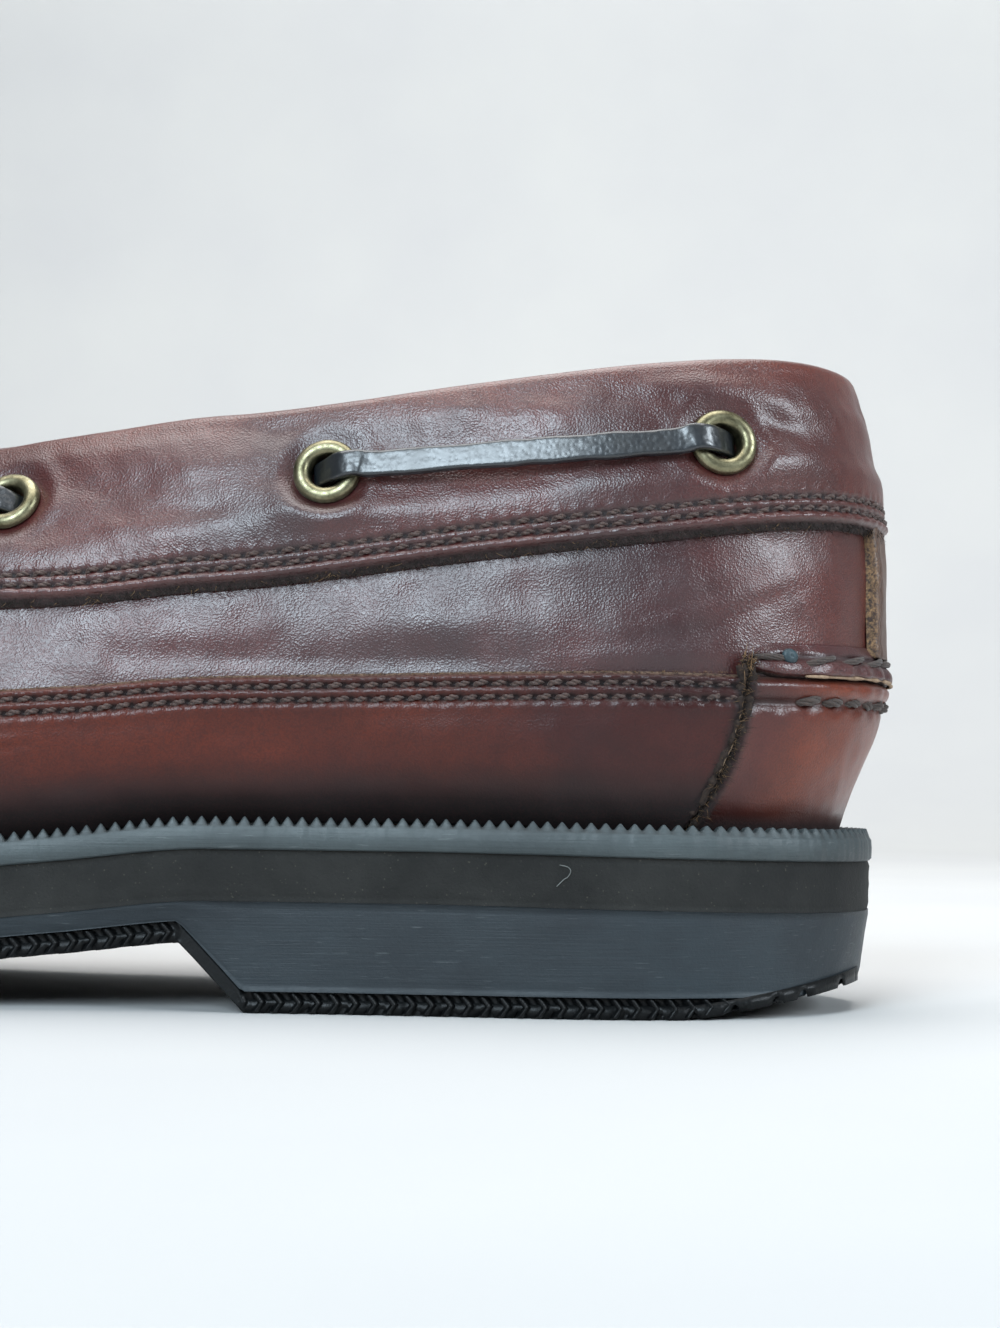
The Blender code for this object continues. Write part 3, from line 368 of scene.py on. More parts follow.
def wall_length(us):
    """Length of the wall from the welt to the top edge."""
    return profile_tables(np.atleast_1d(us))[2][:, -1]


def u_at_along(along, outer, column=TOP_ALONG):
    """u of a place along one side of the shoe."""
    us = np.linspace(0, TOE_U, 500) if outer else np.linspace(1, TOE_U, 500)
    places = np.maximum.accumulate(LOOP.at(us)[:, column] * LENGTH)
    return np.interp(along, places, us)


def wrap_level(us):
    """t of the wrap's top edge along the quarters."""
    along = LOOP.at(us)[..., ALONG]
    climb = np.clip(1 - along / WRAP_LEVEL_START, 0, 1)
    ease = WRAP_EASE * (1 - LIFT(along)) * HEEL_LIFT
    return t_at_rise(us, WRAP_HEIGHT + WRAP_HEEL_RISE * climb + ease)


def band_foot(us):
    """t of the collar band's foot."""
    return t_at_drop(us, LOOP.at(us)[:, BAND] * BAND_HEIGHT)


BAND_FROM = float(u_at_along(BAND_END_INNER * LENGTH, False)) - 1
BAND_TO = float(u_at_along(BAND_END_OUTER * LENGTH, True))


def wrap_top(us):
    """t of the wrap's top edge, which climbs to the vamp's seam past the band."""
    us = np.atleast_1d(us)
    level = wrap_level(us)
    rise = np.clip((LOOP.at(us)[:, ALONG] - WRAP_RISE_START) / WRAP_RISE_RUN, 0, 1)
    rise = rise * rise * (3 - 2 * rise)
    top = level + (1 - level) * rise
    near = np.where(us > BAND_FROM + 1 - 1e-3, us - 1, us)
    under_band = near < BAND_TO + 1e-3
    return np.where(under_band, np.minimum(top, band_foot(us) - 0.012), 1.0)


def patch_edge_u(ts, outer):
    """u of the slanting heel seam at each t."""
    us = np.linspace(0, PATCH_REACH_U, 60) if outer else np.linspace(1, 1 - PATCH_REACH_U, 60)
    top_t = float(t_at_rise(us[20], PATCH_HEIGHT)[0])
    left = 1 - np.clip(ts / top_t, 0, 1)
    along = PATCH_TOP_ALONG + (PATCH_FOOT_ALONG - PATCH_TOP_ALONG) * left**SEAM_CURVE
    columns = form_point(us[None, :], np.asarray(ts)[:, None])[..., 1]
    return np.array([np.interp(a, column, us) for a, column in zip(along, columns)])


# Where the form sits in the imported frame, from the midsole's back edge and the wrap's sides
PLACE_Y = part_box("midsole")[1][1] / MM
sides = form_point(np.linspace(0, 1, 400)[:, None], np.linspace(0, 1, 60)[None, :])[..., 0]
wrap_low, wrap_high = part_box("wrap")
PLACE_X = (wrap_low[0] + wrap_high[0]) / 2 / MM - (sides.min() + sides.max()) / 2


def world(points):
    """The form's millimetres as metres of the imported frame."""
    points = np.asarray(points, float)
    placed = [points[..., 0] + PLACE_X, PLACE_Y - points[..., 1], points[..., 2]]
    return np.stack(placed, -1) * MM


def waves(count, longest, shortest, seed):
    """A smooth random field over (p, q) in millimetres, made from crossing waves."""
    random = np.random.default_rng(seed)
    lengths = longest * (shortest / longest) ** random.random(count)
    turns = random.random(count) * 2 * math.pi
    starts = random.random(count) * 2 * math.pi
    weights = (lengths / longest) ** 0.7

    def field(p, q):
        total = np.zeros(np.broadcast(p, q).shape)
        for length, turn, start, weight in zip(lengths, turns, starts, weights):
            phase = (p * math.cos(turn) + q * math.sin(turn)) * 2 * math.pi / length + start
            total += weight * np.sin(phase)
        return total / np.sqrt((weights**2).sum() / 2)

    return field


def bump(x, centre, width):
    """A soft rise to 1 at the centre."""
    return np.exp(-(((x - centre) / width) ** 2))


def unit(vectors):
    """Vectors brought to length 1."""
    return vectors / np.linalg.norm(vectors, axis=-1)[..., None]


def t_above(us, foot_t, height):
    """t of one line that lies height millimetres above foot_t along the leather."""
    return rows_above_foot(us, foot_t, np.array([[height]]))[:, 0]


def patch_end(t, outer):
    """u of the heel seam's edge at one t."""
    return float(patch_edge_u(np.array([t]), outer)[0])


SIDES = (("outer", True), ("inner", False))


# Fine stations lie where the photograph looks from near: the outer heel half
FINE_STEP = 0.48
COARSE_STEP = 1.35
FINE_FROM = -24.0 / ROUND
FINE_TO = 205.0 / ROUND


def stations(start=0.0, end=1.0, share=1.0):
    """Places round the shoe from start to end, close together on the outer heel half."""
    us = [start]
    while us[-1] < end:
        here = us[-1]
        near = here - 1 if here > 0.9 else here
        fine = FINE_FROM < near < FINE_TO or near > 1 + FINE_FROM
        us.append(here + (FINE_STEP if fine else COARSE_STEP) * share / ROUND)
    us = np.array(us)
    return start + (us - start) * (end - start) / (us[-1] - start)


def grid_faces(rows, columns, closed_rows=False, closed_columns=False):
    """Quads over a grid of points that has columns points in a row."""
    i = np.arange(rows if closed_rows else rows - 1)[:, None]
    j = np.arange(columns if closed_columns else columns - 1)[None, :]
    a, b = i * columns, ((i + 1) % rows) * columns
    k = (j + 1) % columns
    return np.stack([a + j, a + k, b + k, b + j], -1).reshape(-1, 4)


def mesh_object(name, points, faces, finish, tint=None):
    """An object from points in the form's millimetres. tint holds three shares a point:
    painted shade, warmer and raw."""
    mesh = bpy.data.meshes.new(name)
    mesh.from_pydata(world(points).tolist(), [], [tuple(face) for face in faces])
    mesh.update()
    mesh.materials.append(finish)
    if tint is not None:
        layer = mesh.attributes.new("tint", "FLOAT_VECTOR", "POINT")
        layer.data.foreach_set("vector", np.asarray(tint, np.float32).ravel())
    mesh.shade_smooth()
    item = bpy.data.objects.new(name, mesh)
    bpy.context.scene.collection.objects.link(item)
    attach(item, "root")
    return item


def clear_of_eyelets(points, faces):
    """The faces that don't lie in an eyelet's hole, through the whole wall."""
    centres = points.reshape(-1, 3)[faces].mean(axis=1)
    keep = np.ones(len(faces), bool)
    for outer in (True, False):
        for index in range(len(EYELETS)):
            u, t = eyelet_place(index, outer)
            away = centres - form_point(u, t)
            deep = away @ form_normal(u, t)
            aside = np.linalg.norm(away - deep[:, None] * form_normal(u, t), axis=1)
            keep &= (aside > HOLE_CUT) | (np.abs(deep) > 7.0)
    return faces[keep]


def leather_sheet(name, points, shown, finish, tint, closed=False, holes=False):
    """A closed piece of leather from rings of points, of which the first shown rows of
    each ring are its outer face and carry the tint."""
    count, size = points.shape[:2]
    faces = grid_faces(count, size, closed, True)
    if holes:
        faces = clear_of_eyelets(points, faces)
    faces = [tuple(face) for face in faces]
    full_tint = np.zeros((count, size, 3))
    full_tint[:, :shown] = tint
    if not closed:
        faces.append(tuple(reversed(range(size))))
        faces.append(tuple((count - 1) * size + j for j in range(size)))
    return mesh_object(name, points.reshape(-1, 3), faces, finish, full_tint.reshape(-1, 3))


def backed(near, ts, out, depth):
    """Points of a sheet on the form, with a flat back at a depth."""
    back = ts[:, [-1, 0]]
    return skin(near[:, None], np.concatenate([ts, back], axis=1),
                np.concatenate([out, np.full(back.shape, depth)], axis=1))


def tubes(centres, normals, radii, sides):
    """Points and faces of many round tubes with the same number of rings."""
    along = np.gradient(centres, axis=1)
    along /= np.maximum(np.linalg.norm(along, axis=2), 1e-9)[..., None]
    side = np.cross(along, normals)
    side /= np.maximum(np.linalg.norm(side, axis=2), 1e-9)[..., None]
    up = np.cross(side, along)
    turn = 2 * math.pi * np.arange(sides) / sides
    rings = centres[:, :, None] + radii[:, :, None, None] * (
        np.cos(turn)[:, None] * side[:, :, None] + np.sin(turn)[:, None] * up[:, :, None]
    )
    count, rows = centres.shape[:2]
    one = grid_faces(rows, sides, False, True)
    shift = (np.arange(count) * rows * sides)[:, None, None]
    faces = [tuple(face) for face in (one[None] + shift).reshape(-1, 4)]
    for k in range(count):
        first = k * rows * sides
        last = first + (rows - 1) * sides
        faces.append(tuple(first + j for j in reversed(range(sides))))
        faces.append(tuple(last + j for j in range(sides)))
    return rings.reshape(-1, 3), faces


def rows_above_foot(us, foot_t, heights):
    """ts of the rows that lie heights millimetres above foot_t along the leather."""
    ts, _, lengths = profile_tables(us)
    found = np.zeros((len(us), heights.shape[-1]))
    heights = np.broadcast_to(heights, found.shape)
    for i in range(len(us)):
        start = np.interp(foot_t[i], ts, lengths[i])
        found[i] = np.interp(start + heights[i], lengths[i], ts)
    return found


# The leather's troughs and swellings on the outer side, placed in the form's
# millimetres: across the long way (reach) and the short way (width), turned up towards
# the heel, with how far they stand out. The inner side gets its own by mirrored shares.
SWELLS = [
    # along, height, reach, width, turn, out
    (103.0, 81.0, 24.0, 4.2, -6, 0.95),
    (62.0, 89.5, 26.0, 3.6, -6, 0.80),
    (112.0, 72.5, 17.0, 4.4, -9, 0.55),
    (60.0, 80.5, 18.0, 3.2, -5, -0.55),
    (84.0, 73.0, 12.0, 3.4, -8, 0.70),
    (68.0, 72.5, 26.0, 3.0, -7, 0.45),
    (92.0, 87.0, 12.0, 3.0, -10, -0.45),
    (22.0, 92.0, 16.0, 2.6, -8, 0.75),
    (14.0, 87.5, 9.0, 2.0, -20, -0.65),
    (12.0, 82.0, 7.0, 3.0, 30, 0.50),
    (33.0, 77.0, 12.0, 3.0, -10, 0.45),
    (44.0, 88.0, 9.0, 4.0, 20, 0.35),
    (62.0, 56.5, 28.0, 5.5, -3, 0.95),
    (13.0, 64.5, 9.0, 5.0, -6, 0.60),
    (104.0, 60.0, 6.0, 2.2, 52, 0.22),
    (104.0, 52.5, 22.0, 2.4, -4, -0.40),
    (30.0, 64.0, 12.0, 4.0, -12, 0.45),
    (20.0, 58.0, 10.0, 1.2, 24, -0.28),
    (26.0, 60.5, 9.0, 1.0, 18, -0.22),
    (17.0, 62.5, 8.0, 1.1, 20, 0.22),
    (38.0, 54.0, 12.0, 1.6, 10, -0.20),
]


def swelling(points, us):
    """How far the worn leather stands out from the form."""
    total = np.zeros(points.shape[:-1])
    near = np.where(us > 0.93, us - 1, us)
    outer = (near < TOE_U)[:, None]
    along, height = points[..., 1], points[..., 2]
    for place, rise, reach, width, turn, out in SWELLS:
        lean = math.radians(turn)
        for on_side, shift, share in ((outer, 0.0, 1.0), (~outer, 4.0, 0.75)):
            a = (along - place - shift) * math.cos(lean) - (height - rise) * math.sin(lean)
            b = (along - place - shift) * math.sin(lean) + (height - rise) * math.cos(lean)
            total += share * out * np.exp(-((a / reach) ** 2) - (b / width) ** 2) * on_side
    return total


SOFT = waves(26, 70.0, 16.0, 3)
FINE = waves(40, 14.0, 4.0, 5)
ROUGH = waves(60, 3.2, 0.9, 11)
STITCH = 2.66
HOLE_CUT = 3.3


def pucker(p, e, row, pitch=STITCH, hole=0.40, groove=0.34):
    """A stitch row's groove at e = row with a dimple at each hole."""
    place = (p / pitch) % 1.0
    to_hole = np.minimum(place, 1 - place) * pitch
    ditch = -groove * bump(e, row, 0.42)
    dimple = -hole * np.exp(-((to_hole / 0.52) ** 2) - ((e - row) / 0.55) ** 2)
    scallop = -0.10 * np.cos(2 * math.pi * place) * bump(e, row - 0.95, 0.7)
    scallop = scallop - 0.07 * np.cos(2 * math.pi * place) * bump(e, row + 0.95, 0.7)
    return ditch + dimple + scallop


def hole_shade(p, e, row, pitch=STITCH):
    """Painted shade round the holes of a stitch row."""
    place = (p / pitch) % 1.0
    to_hole = np.minimum(place, 1 - place) * pitch
    return np.exp(-((to_hole / 0.55) ** 2) - ((e - row) / 0.55) ** 2)


BAND_ROW_ONE = 4.05
BAND_ROW_TWO = 2.25
BAND_FOOT_UNDER = 0.75
BAND_ROWS_APART = 0.9
BAND_CUT_WIDTH, BAND_CUT_DEPTH = 1.3, 1.45
BAND_LIP_AT, BAND_LIP_OUT = 1.7, 0.34
BAND_BACK = -1.9
COLLAR_ROLL = 1.95
COLLAR_INSIDE = (3.4, 5.0, 6.6, 8.2)
EYELET_SEAT, EYELET_SEAT_DEPTH = 6.0, 0.55


def build_band(finish):
    """The band round the collar: cut edge and two stitched rows below, rolled over above."""
    us = stations(BAND_FROM, BAND_TO)
    near = np.mod(us, 1.0)
    foot = band_foot(near)
    foot_under = t_above(near, foot, -BAND_FOOT_UNDER)
    reach = wall_length(near)
    ts0, _, lengths = profile_tables(near)
    start = np.array([np.interp(t, ts0, line) for t, line in zip(foot_under, lengths)])
    tall = reach - start
    low = np.concatenate([[0.0, 0.3, 0.6, 0.9, 1.25], np.arange(1.6, 7.4, 0.36)])
    high = np.linspace(0, 1, 26)[1:]
    e = np.concatenate(
        [np.broadcast_to(low, (len(us), len(low))),
         low[-1] + (tall - COLLAR_ROLL * 0.9 - low[-1])[:, None] * high], axis=1)
    ts = rows_above_foot(near, foot_under, e)
    p = (us * ROUND)[:, None] + 0 * e
    base = form_point(near[:, None], ts)
    out = swelling(base, near)
    out += 0.16 * SOFT(p, base[..., 2]) + 0.05 * FINE(p, base[..., 2] * 1.6)
    calm = np.clip((e - 5.6) / 5, 0, 1)
    out *= 0.15 + 0.85 * calm * np.clip((tall[:, None] - e) / 5, 0.25, 1)
    row_one = BAND_FOOT_UNDER + BAND_ROW_ONE
    row_two = BAND_FOOT_UNDER + BAND_ROW_TWO
    out += 0.55 * bump(e, row_one + 3.9, 2.6)
    out += 0.16 * bump(e, (row_one + row_two) / 2, 0.45) + 0.26 * bump(e, row_two - 0.95, 0.5)
    out += pucker(p, e, row_one) + pucker(p + BAND_ROWS_APART, e, row_two)
    cut = np.clip(1 - e / BAND_CUT_WIDTH, 0, 1)
    out += BAND_LIP_OUT * bump(e, BAND_LIP_AT, 0.36)
    out -= BAND_CUT_DEPTH * cut**0.7 + 0.12 * ROUGH(p * 1.3, e * 2.0) * np.clip(cut * 3, 0, 1)
    for outer in (True, False):
        for index in range(len(EYELETS)):
            u, t = eyelet_place(index, outer)
            centre = form_point(u, t)
            away = np.linalg.norm(base - centre, axis=-1)
            side = (near < TOE_U) == outer if outer else (near > TOE_U)
            press = EYELET_SEAT_DEPTH * np.exp(-((away / EYELET_SEAT) ** 6))
            press -= 0.16 * bump(away, 7.6, 1.3)
            out -= (press + out * np.exp(-((away / 6.2) ** 6))) * side[:, None]
    away = np.minimum(us - us[0], us[-1] - us)[:, None] * ROUND
    out -= 0.9 * np.clip(1 - away / 1.4, 0, 1) ** 2
    tint = np.zeros((*e.shape, 3))
    # Painted shade in the stitch rows' grooves and round their holes.
    tint[..., 0] = 0.45 * bump(e, row_one, 0.6) + 0.45 * bump(e, row_two, 0.6)
    tint[..., 0] += hole_shade(p, e, row_one) + hole_shade(p + BAND_ROWS_APART, e, row_two)
    tint[..., 1] = np.clip(1 - (tall[:, None] - e) / 7.0, 0, 1) ** 1.2 * 0.8
    tint[..., 1] += 0.5 * np.clip(1 - base[..., 1] / 26, 0, 1)
    tint[..., 2] = np.clip(2.4 - e / 0.60, 0, 1)
    roll = np.linspace(0, math.pi, 9)[1:]
    roll_out = -COLLAR_ROLL + COLLAR_ROLL * np.cos(roll)
    roll_up = COLLAR_ROLL * 0.9 * np.sin(roll) - COLLAR_ROLL * 0.9
    top_t = rows_above_foot(near, np.ones(len(us)), roll_up[None, :])
    top_out = np.broadcast_to(roll_out, top_t.shape) + out[:, -1:] * (1 - roll / math.pi)
    in_t = rows_above_foot(near, np.ones(len(us)), -np.array([COLLAR_INSIDE]))
    in_out = np.broadcast_to(-2 * COLLAR_ROLL + np.array([0.02, 0.0, 0.0, 0.25]), in_t.shape)
    back_t = np.concatenate([in_t[:, -1:], foot_under[:, None]], axis=1)
    back_out = np.broadcast_to(np.array([BAND_BACK, BAND_BACK + 0.15]), back_t.shape)
    all_t = np.concatenate([ts, top_t, in_t, back_t], axis=1)
    all_out = np.concatenate([out, top_out, in_out, back_out], axis=1)
    shown = all_t.shape[1] - back_t.shape[1]
    extra = np.zeros((len(us), shown - ts.shape[1], 3))
    extra[..., 1] = 0.7
    all_tint = np.concatenate([tint, extra], axis=1)
    points = skin(near[:, None], all_t, all_out)
    return leather_sheet("collar_band_leather", points, shown, finish, all_tint, holes=True)


def eyelet_place(index, outer):
    """(u, t) of an eyelet's middle."""
    along, drop = EYELETS[index]
    u = float(u_at_along(along * LENGTH, outer))
    return u, float(t_at_drop(u, drop * BAND_HEIGHT)[0])


UNDER_OVERLAYS, RIM_DROP = 2.2, 2.4
UPPER_OUT, LINING_OUT = -1.8, -3.75


def build_upper(finish):
    """Quarters and counter with the lining: one wall, mostly covered by the overlays."""
    us = stations(0.0, 1.0, 1.25)[:-1]
    wrap, foot = wrap_top(us), np.clip(band_foot(us), 0.02, 0.97)
    low = np.minimum(wrap, 0.95)
    under_wrap = t_above(us, low, -UNDER_OVERLAYS)
    over_band = t_above(us, np.maximum(foot, low), UNDER_OVERLAYS)
    over_band = np.maximum(over_band, under_wrap + 0.004)
    rim = np.maximum(t_above(us, np.ones(len(us)), -RIM_DROP), over_band + 0.002)
    quarter = np.linspace(0, 1, 38)
    hidden_low = under_wrap[:, None] * np.linspace(0, 1, 6)[None, :-1]
    shown = under_wrap[:, None] + (over_band - under_wrap)[:, None] * quarter
    ts = np.concatenate([hidden_low, shown, rim[:, None]], axis=1)
    base = form_point(us[:, None], ts)
    p = (us * ROUND)[:, None] + 0 * ts
    out = UPPER_OUT + 0.8 * swelling(base, us) + 0.18 * SOFT(p + 40, base[..., 2])
    out += 0.05 * FINE(p, base[..., 2])
    free = np.clip((ts - low[:, None]) * 30, 0, 1) * np.clip((foot[:, None] - ts) * 30, 0, 1)
    out = UPPER_OUT + (out - UPPER_OUT) * free
    tint = np.zeros((*ts.shape, 3))
    # Painted shadow just under the band's cut edge.
    tint[..., 0] = 0.30 * bump(ts, foot[:, None], 0.03)
    tint[..., 1] = 0.55 * np.clip(1 - base[..., 1] / 28, 0, 1)
    top = np.stack([rim, rim], axis=1)
    top_out = np.broadcast_to(np.array([-2.4, -3.3]), top.shape)
    down = np.linspace(1, 0, 14)[None, :] * rim[:, None]
    down_out = np.broadcast_to(LINING_OUT, down.shape) + 0.12 * SOFT(us[:, None] * ROUND, down * 60)
    points = skin(us[:, None], np.concatenate([ts, top, down], axis=1),
                  np.concatenate([out, top_out, down_out], axis=1))
    return leather_sheet("quarters_and_lining", points, ts.shape[1], finish, tint, True, True)


WRAP_ROW_ONE = 1.75
WRAP_ROW_TWO = 3.75
WRAP_ROWS_APART = 1.1
WRAP_CUT_WIDTH, WRAP_CUT_DEPTH = 0.75, 1.25
SEAM_LIP, SEAM_LIP_OUT = 2.4, 0.55
SEAM_CUT_WIDTH, SEAM_CUT_DEPTH = 0.9, 1.3
SHOULDER_FROM_SEAM, SHOULDER_DROP, SHOULDER_OUT = 13, 9.0, 0.8
SCAR_ALONG, SCAR_HEIGHT, SCAR_REACH = 126.5, 38.5, 4.5
OVERLAY_BACK = -1.7
MOC_PITCH = 5.4
MOC_FADE = 14


def wrap_grid():
    """Stations, rows and distances below the top edge for the moccasin's lower leather."""
    start = patch_end(1.0, True)
    end = patch_end(1.0, False)
    us = stations(start, end)
    top = wrap_top(us)
    ts0, _, lengths = profile_tables(us)
    reach = np.array([np.interp(t, ts0, line) for t, line in zip(top, lengths)])
    low = np.concatenate([[0.0, 0.3, 0.6, 0.95], np.arange(1.3, 6.6, 0.36)])
    share = np.linspace(0, 1, 28)[1:]
    e = np.concatenate(
        [np.broadcast_to(low, (len(us), len(low))), low[-1] + (reach - low[-1])[:, None] * share],
        axis=1)
    ts = rows_above_foot(us, top, -e)
    return us, ts, e, start, end


def slanted(us, ts, start, end):
    """us as a grid whose first and last columns follow the seam to the heel patch."""
    fade = 0.035
    near_start = np.clip(1 - (us - us[0]) / fade, 0, 1)[:, None]
    near_end = np.clip(1 - (us[-1] - us) / fade, 0, 1)[:, None]
    grid = np.repeat(us[:, None], ts.shape[1], axis=1)
    grid = grid + near_start * (patch_edge_u(ts[0], True)[None, :] - start)
    return grid + near_end * (patch_edge_u(ts[-1], False)[None, :] - end)


def build_wrap(finish):
    """The moccasin's lower leather: stitched top edge, gathered seam round the vamp."""
    us, ts, e, start, end = wrap_grid()
    grid = slanted(us, ts, start, end)
    base = form_point(grid, ts)
    p = grid * ROUND
    vamp = np.clip((us - BAND_TO) * ROUND / MOC_FADE, 0, 1)
    vamp = (vamp * np.clip((BAND_FROM + 1 - us) * ROUND / MOC_FADE, 0, 1))[:, None]
    out = 0.22 * SOFT(p + 90, base[..., 2] * 1.4) + 0.05 * FINE(p, base[..., 2])
    out *= np.clip((e - 4.5) / 4, 0, 1)
    rows = pucker(p, e, WRAP_ROW_ONE) + pucker(p + WRAP_ROWS_APART, e, WRAP_ROW_TWO)
    rows += 0.14 * bump(e, 2.75, 0.42) + 0.20 * bump(e, 5.0, 0.9)
    rows += 0.16 * bump(e, 0.95, 0.35)
    moc = -0.75 * bump(e, 3.0, 0.7) + 0.5 * bump(e, 1.2, 1.0)
    moc = moc + 0.42 * np.cos(2 * math.pi * p / MOC_PITCH) * np.exp(-((e - 3.4) / 3.6) ** 2)
    moc = moc + 0.16 * np.cos(2 * math.pi * p / MOC_PITCH + 2 * FINE(p, e)) * bump(e, 7.5, 4.0)
    out += rows * (1 - vamp) + moc * vamp
    cut = np.clip(1 - e / WRAP_CUT_WIDTH, 0, 1)
    cut_in = WRAP_CUT_DEPTH * cut**1.2 + 0.07 * ROUGH(p, e * 2) * np.clip(cut * 3, 0, 1)
    out -= cut_in * (1 - 0.3 * vamp)
    seam = np.minimum(np.abs(grid - grid[:1]), np.abs(grid[-1:] - grid)) * ROUND
    out += SEAM_LIP_OUT * bump(seam, 0, SEAM_LIP) * np.clip(e / 3, 0, 1)
    out -= SEAM_CUT_DEPTH * np.clip(1 - seam / SEAM_CUT_WIDTH, 0, 1) ** 1.5
    out += SHOULDER_OUT * bump(seam, SHOULDER_FROM_SEAM, 9) * bump(e, SHOULDER_DROP, 5.5)
    scar = base[..., 1] - SCAR_ALONG
    fold = base[..., 2] - SCAR_HEIGHT - 0.35 * np.sin(scar * 0.8)
    out -= 0.42 * bump(scar, 0, SCAR_REACH) * bump(fold, 0, 0.45)
    out += 0.22 * bump(scar, 0, SCAR_REACH) * bump(fold, 0.9, 0.6)
    tint = np.zeros((*ts.shape, 3))
    # Painted shade: darker towards the welt, in the stitch rows' grooves and round their holes.
    rise = base[..., 2] - welt_top(base[..., 1])
    under = np.clip(1.6 - rise / 6.0, 0, 1) ** 0.9
    tint[..., 0] = under + 0.45 * bump(e, WRAP_ROW_ONE, 0.55) + 0.45 * bump(e, WRAP_ROW_TWO, 0.55)
    holes = hole_shade(p, e, WRAP_ROW_ONE) + hole_shade(p + WRAP_ROWS_APART, e, WRAP_ROW_TWO)
    tint[..., 0] += holes * (1 - vamp)
    warm = bump(e, 7.5, 8.0) * np.clip((base[..., 1] - 46) / 20, 0.0, 1)
    tint[..., 1] = warm + 0.15 * SOFT(p * 1.5, base[..., 2] * 2)
    tint[..., 2] = np.clip(1.2 - e / 0.5, 0, 1)
    # Painted shade in the groove of the heel seam.
    tint[..., 0] += np.clip(1.7 - seam / 1.2, 0, 1)
    back_t = np.stack([ts[:, -1], ts[:, -1] * 0.5 + ts[:, 0] * 0.5, ts[:, 0]], axis=1)
    back_out = np.broadcast_to(np.array([OVERLAY_BACK, OVERLAY_BACK, OVERLAY_BACK - 0.05]), back_t.shape)
    back_u = np.stack([grid[:, -1], (grid[:, -1] + grid[:, 0]) / 2, grid[:, 0]], axis=1)
    points = skin(np.concatenate([grid, back_u], axis=1),
                  np.concatenate([ts, back_t], axis=1),
                  np.concatenate([out, back_out], axis=1))
    points = points[:, ::-1]
    tint_flipped = np.zeros((*points.shape[:2], 3))
    tint_flipped[:, back_t.shape[1]:] = tint[:, ::-1]
    return leather_sheet("wrap_leather", points, points.shape[1], finish, tint_flipped)


PATCH_LIP = 23.3
PATCH_ROW = 19.6
PATCH_ROLL = 21.8
PATCH_DETAIL_FROM = 16.5


def patch_stations():
    """u from the inner to the outer heel seam, running over the back at u = 0."""
    low = patch_end(1.0, False) - 1
    high = patch_end(1.0, True)
    return stations(low, high, 0.9), low, high


def patch_points(us, low, high, ts, outs):
    """Points over the back of the heel: the outer columns follow the slanting seams."""
    share = ((us - low) / (high - low))[:, None]
    left = patch_edge_u(ts[0], False)[None, :] - 1
    right = patch_edge_u(ts[-1], True)[None, :]
    grid = left + (right - left) * share
    return skin(np.mod(grid, 1.0), ts, outs), grid


def build_heel_patch(finish):
    """The leather over the counter, rolled above its row of hand stitches."""
    us, low, high = patch_stations()
    near = np.mod(us, 1.0)
    fine = np.arange(PATCH_DETAIL_FROM + 0.4, PATCH_LIP + 0.3, 0.36)
    rises = np.concatenate([np.linspace(0, PATCH_DETAIL_FROM, 26), fine])
    ts = np.array([t_at_rise(near, rise) for rise in rises]).T
    _, grid = patch_points(us, low, high, ts, 0.0)
    p, rise = grid * ROUND, np.broadcast_to(rises, ts.shape)
    seam = np.minimum(np.abs(grid - grid[:1]), np.abs(grid[-1:] - grid)) * ROUND
    out = 0.14 * SOFT(p + 10, rise * 1.5) + 0.05 * FINE(p, rise)
    out += 0.50 * bump(rise, PATCH_ROLL, 1.4) - 0.75 * bump(rise, PATCH_ROW, 0.7)
    place = np.cos(2 * math.pi * p / HAND_PITCH)
    out += (0.24 * place - 0.3) * bump(rise, PATCH_ROW - 0.9, 1.0) * 0.7
    out += 0.10 * place * bump(rise, PATCH_ROLL, 1.2)
    out += SEAM_LIP_OUT * bump(seam, 0, SEAM_LIP)
    out -= SEAM_CUT_DEPTH * np.clip(1 - seam / SEAM_CUT_WIDTH, 0, 1) ** 1.5
    cut = np.clip((rise - PATCH_LIP + 0.9) / 0.9, 0, 1)
    out -= 1.3 * cut**1.4
    tint = np.zeros((*ts.shape, 3))
    # Painted shade: darker towards the welt and in the stitch row's groove.
    tint[..., 0] = np.clip(1.2 - rise / 5.0, 0, 1) ** 1.2 + 0.7 * bump(rise, PATCH_ROW, 0.8)
    tint[..., 1] = 0.9 * bump(rise, 11.0, 9.0) + 0.6 * bump(rise, 21.5, 1.5)
    tint[..., 1] *= np.clip((seam - 5) / 9, 0.0, 1)
    # Painted shade in the groove of the heel seam.
    tint[..., 0] += np.clip(1.7 - seam / 1.2, 0, 1)
    tint[..., 2] = cut * 0.8
    back = ts[:, [-1, 12, 0]]
    back_out = np.broadcast_to(OVERLAY_BACK, back.shape)
    points, _ = patch_points(us, low, high, np.concatenate([ts, back], axis=1),
                             np.concatenate([out, back_out], axis=1))
    return leather_sheet("heel_patch_leather", points, ts.shape[1], finish, tint)


RIDGE_LOW, RIDGE_HIGH = 22.9, 28.2
RIDGE_PAST_SEAM, RIDGE_OUT, RIDGE_BACK = 4.5, 2.2, -2.6
HAND_PITCH, LONG_PITCH = 5.0, 7.4


def ridge_profile(us, low, high):
    """How far along the ridge fades out at both of its ends, as shares."""
    away = np.minimum(us - low, high - us) * ROUND
    return np.clip((away + 1.0) / 5.0, 0, 1) ** 0.6


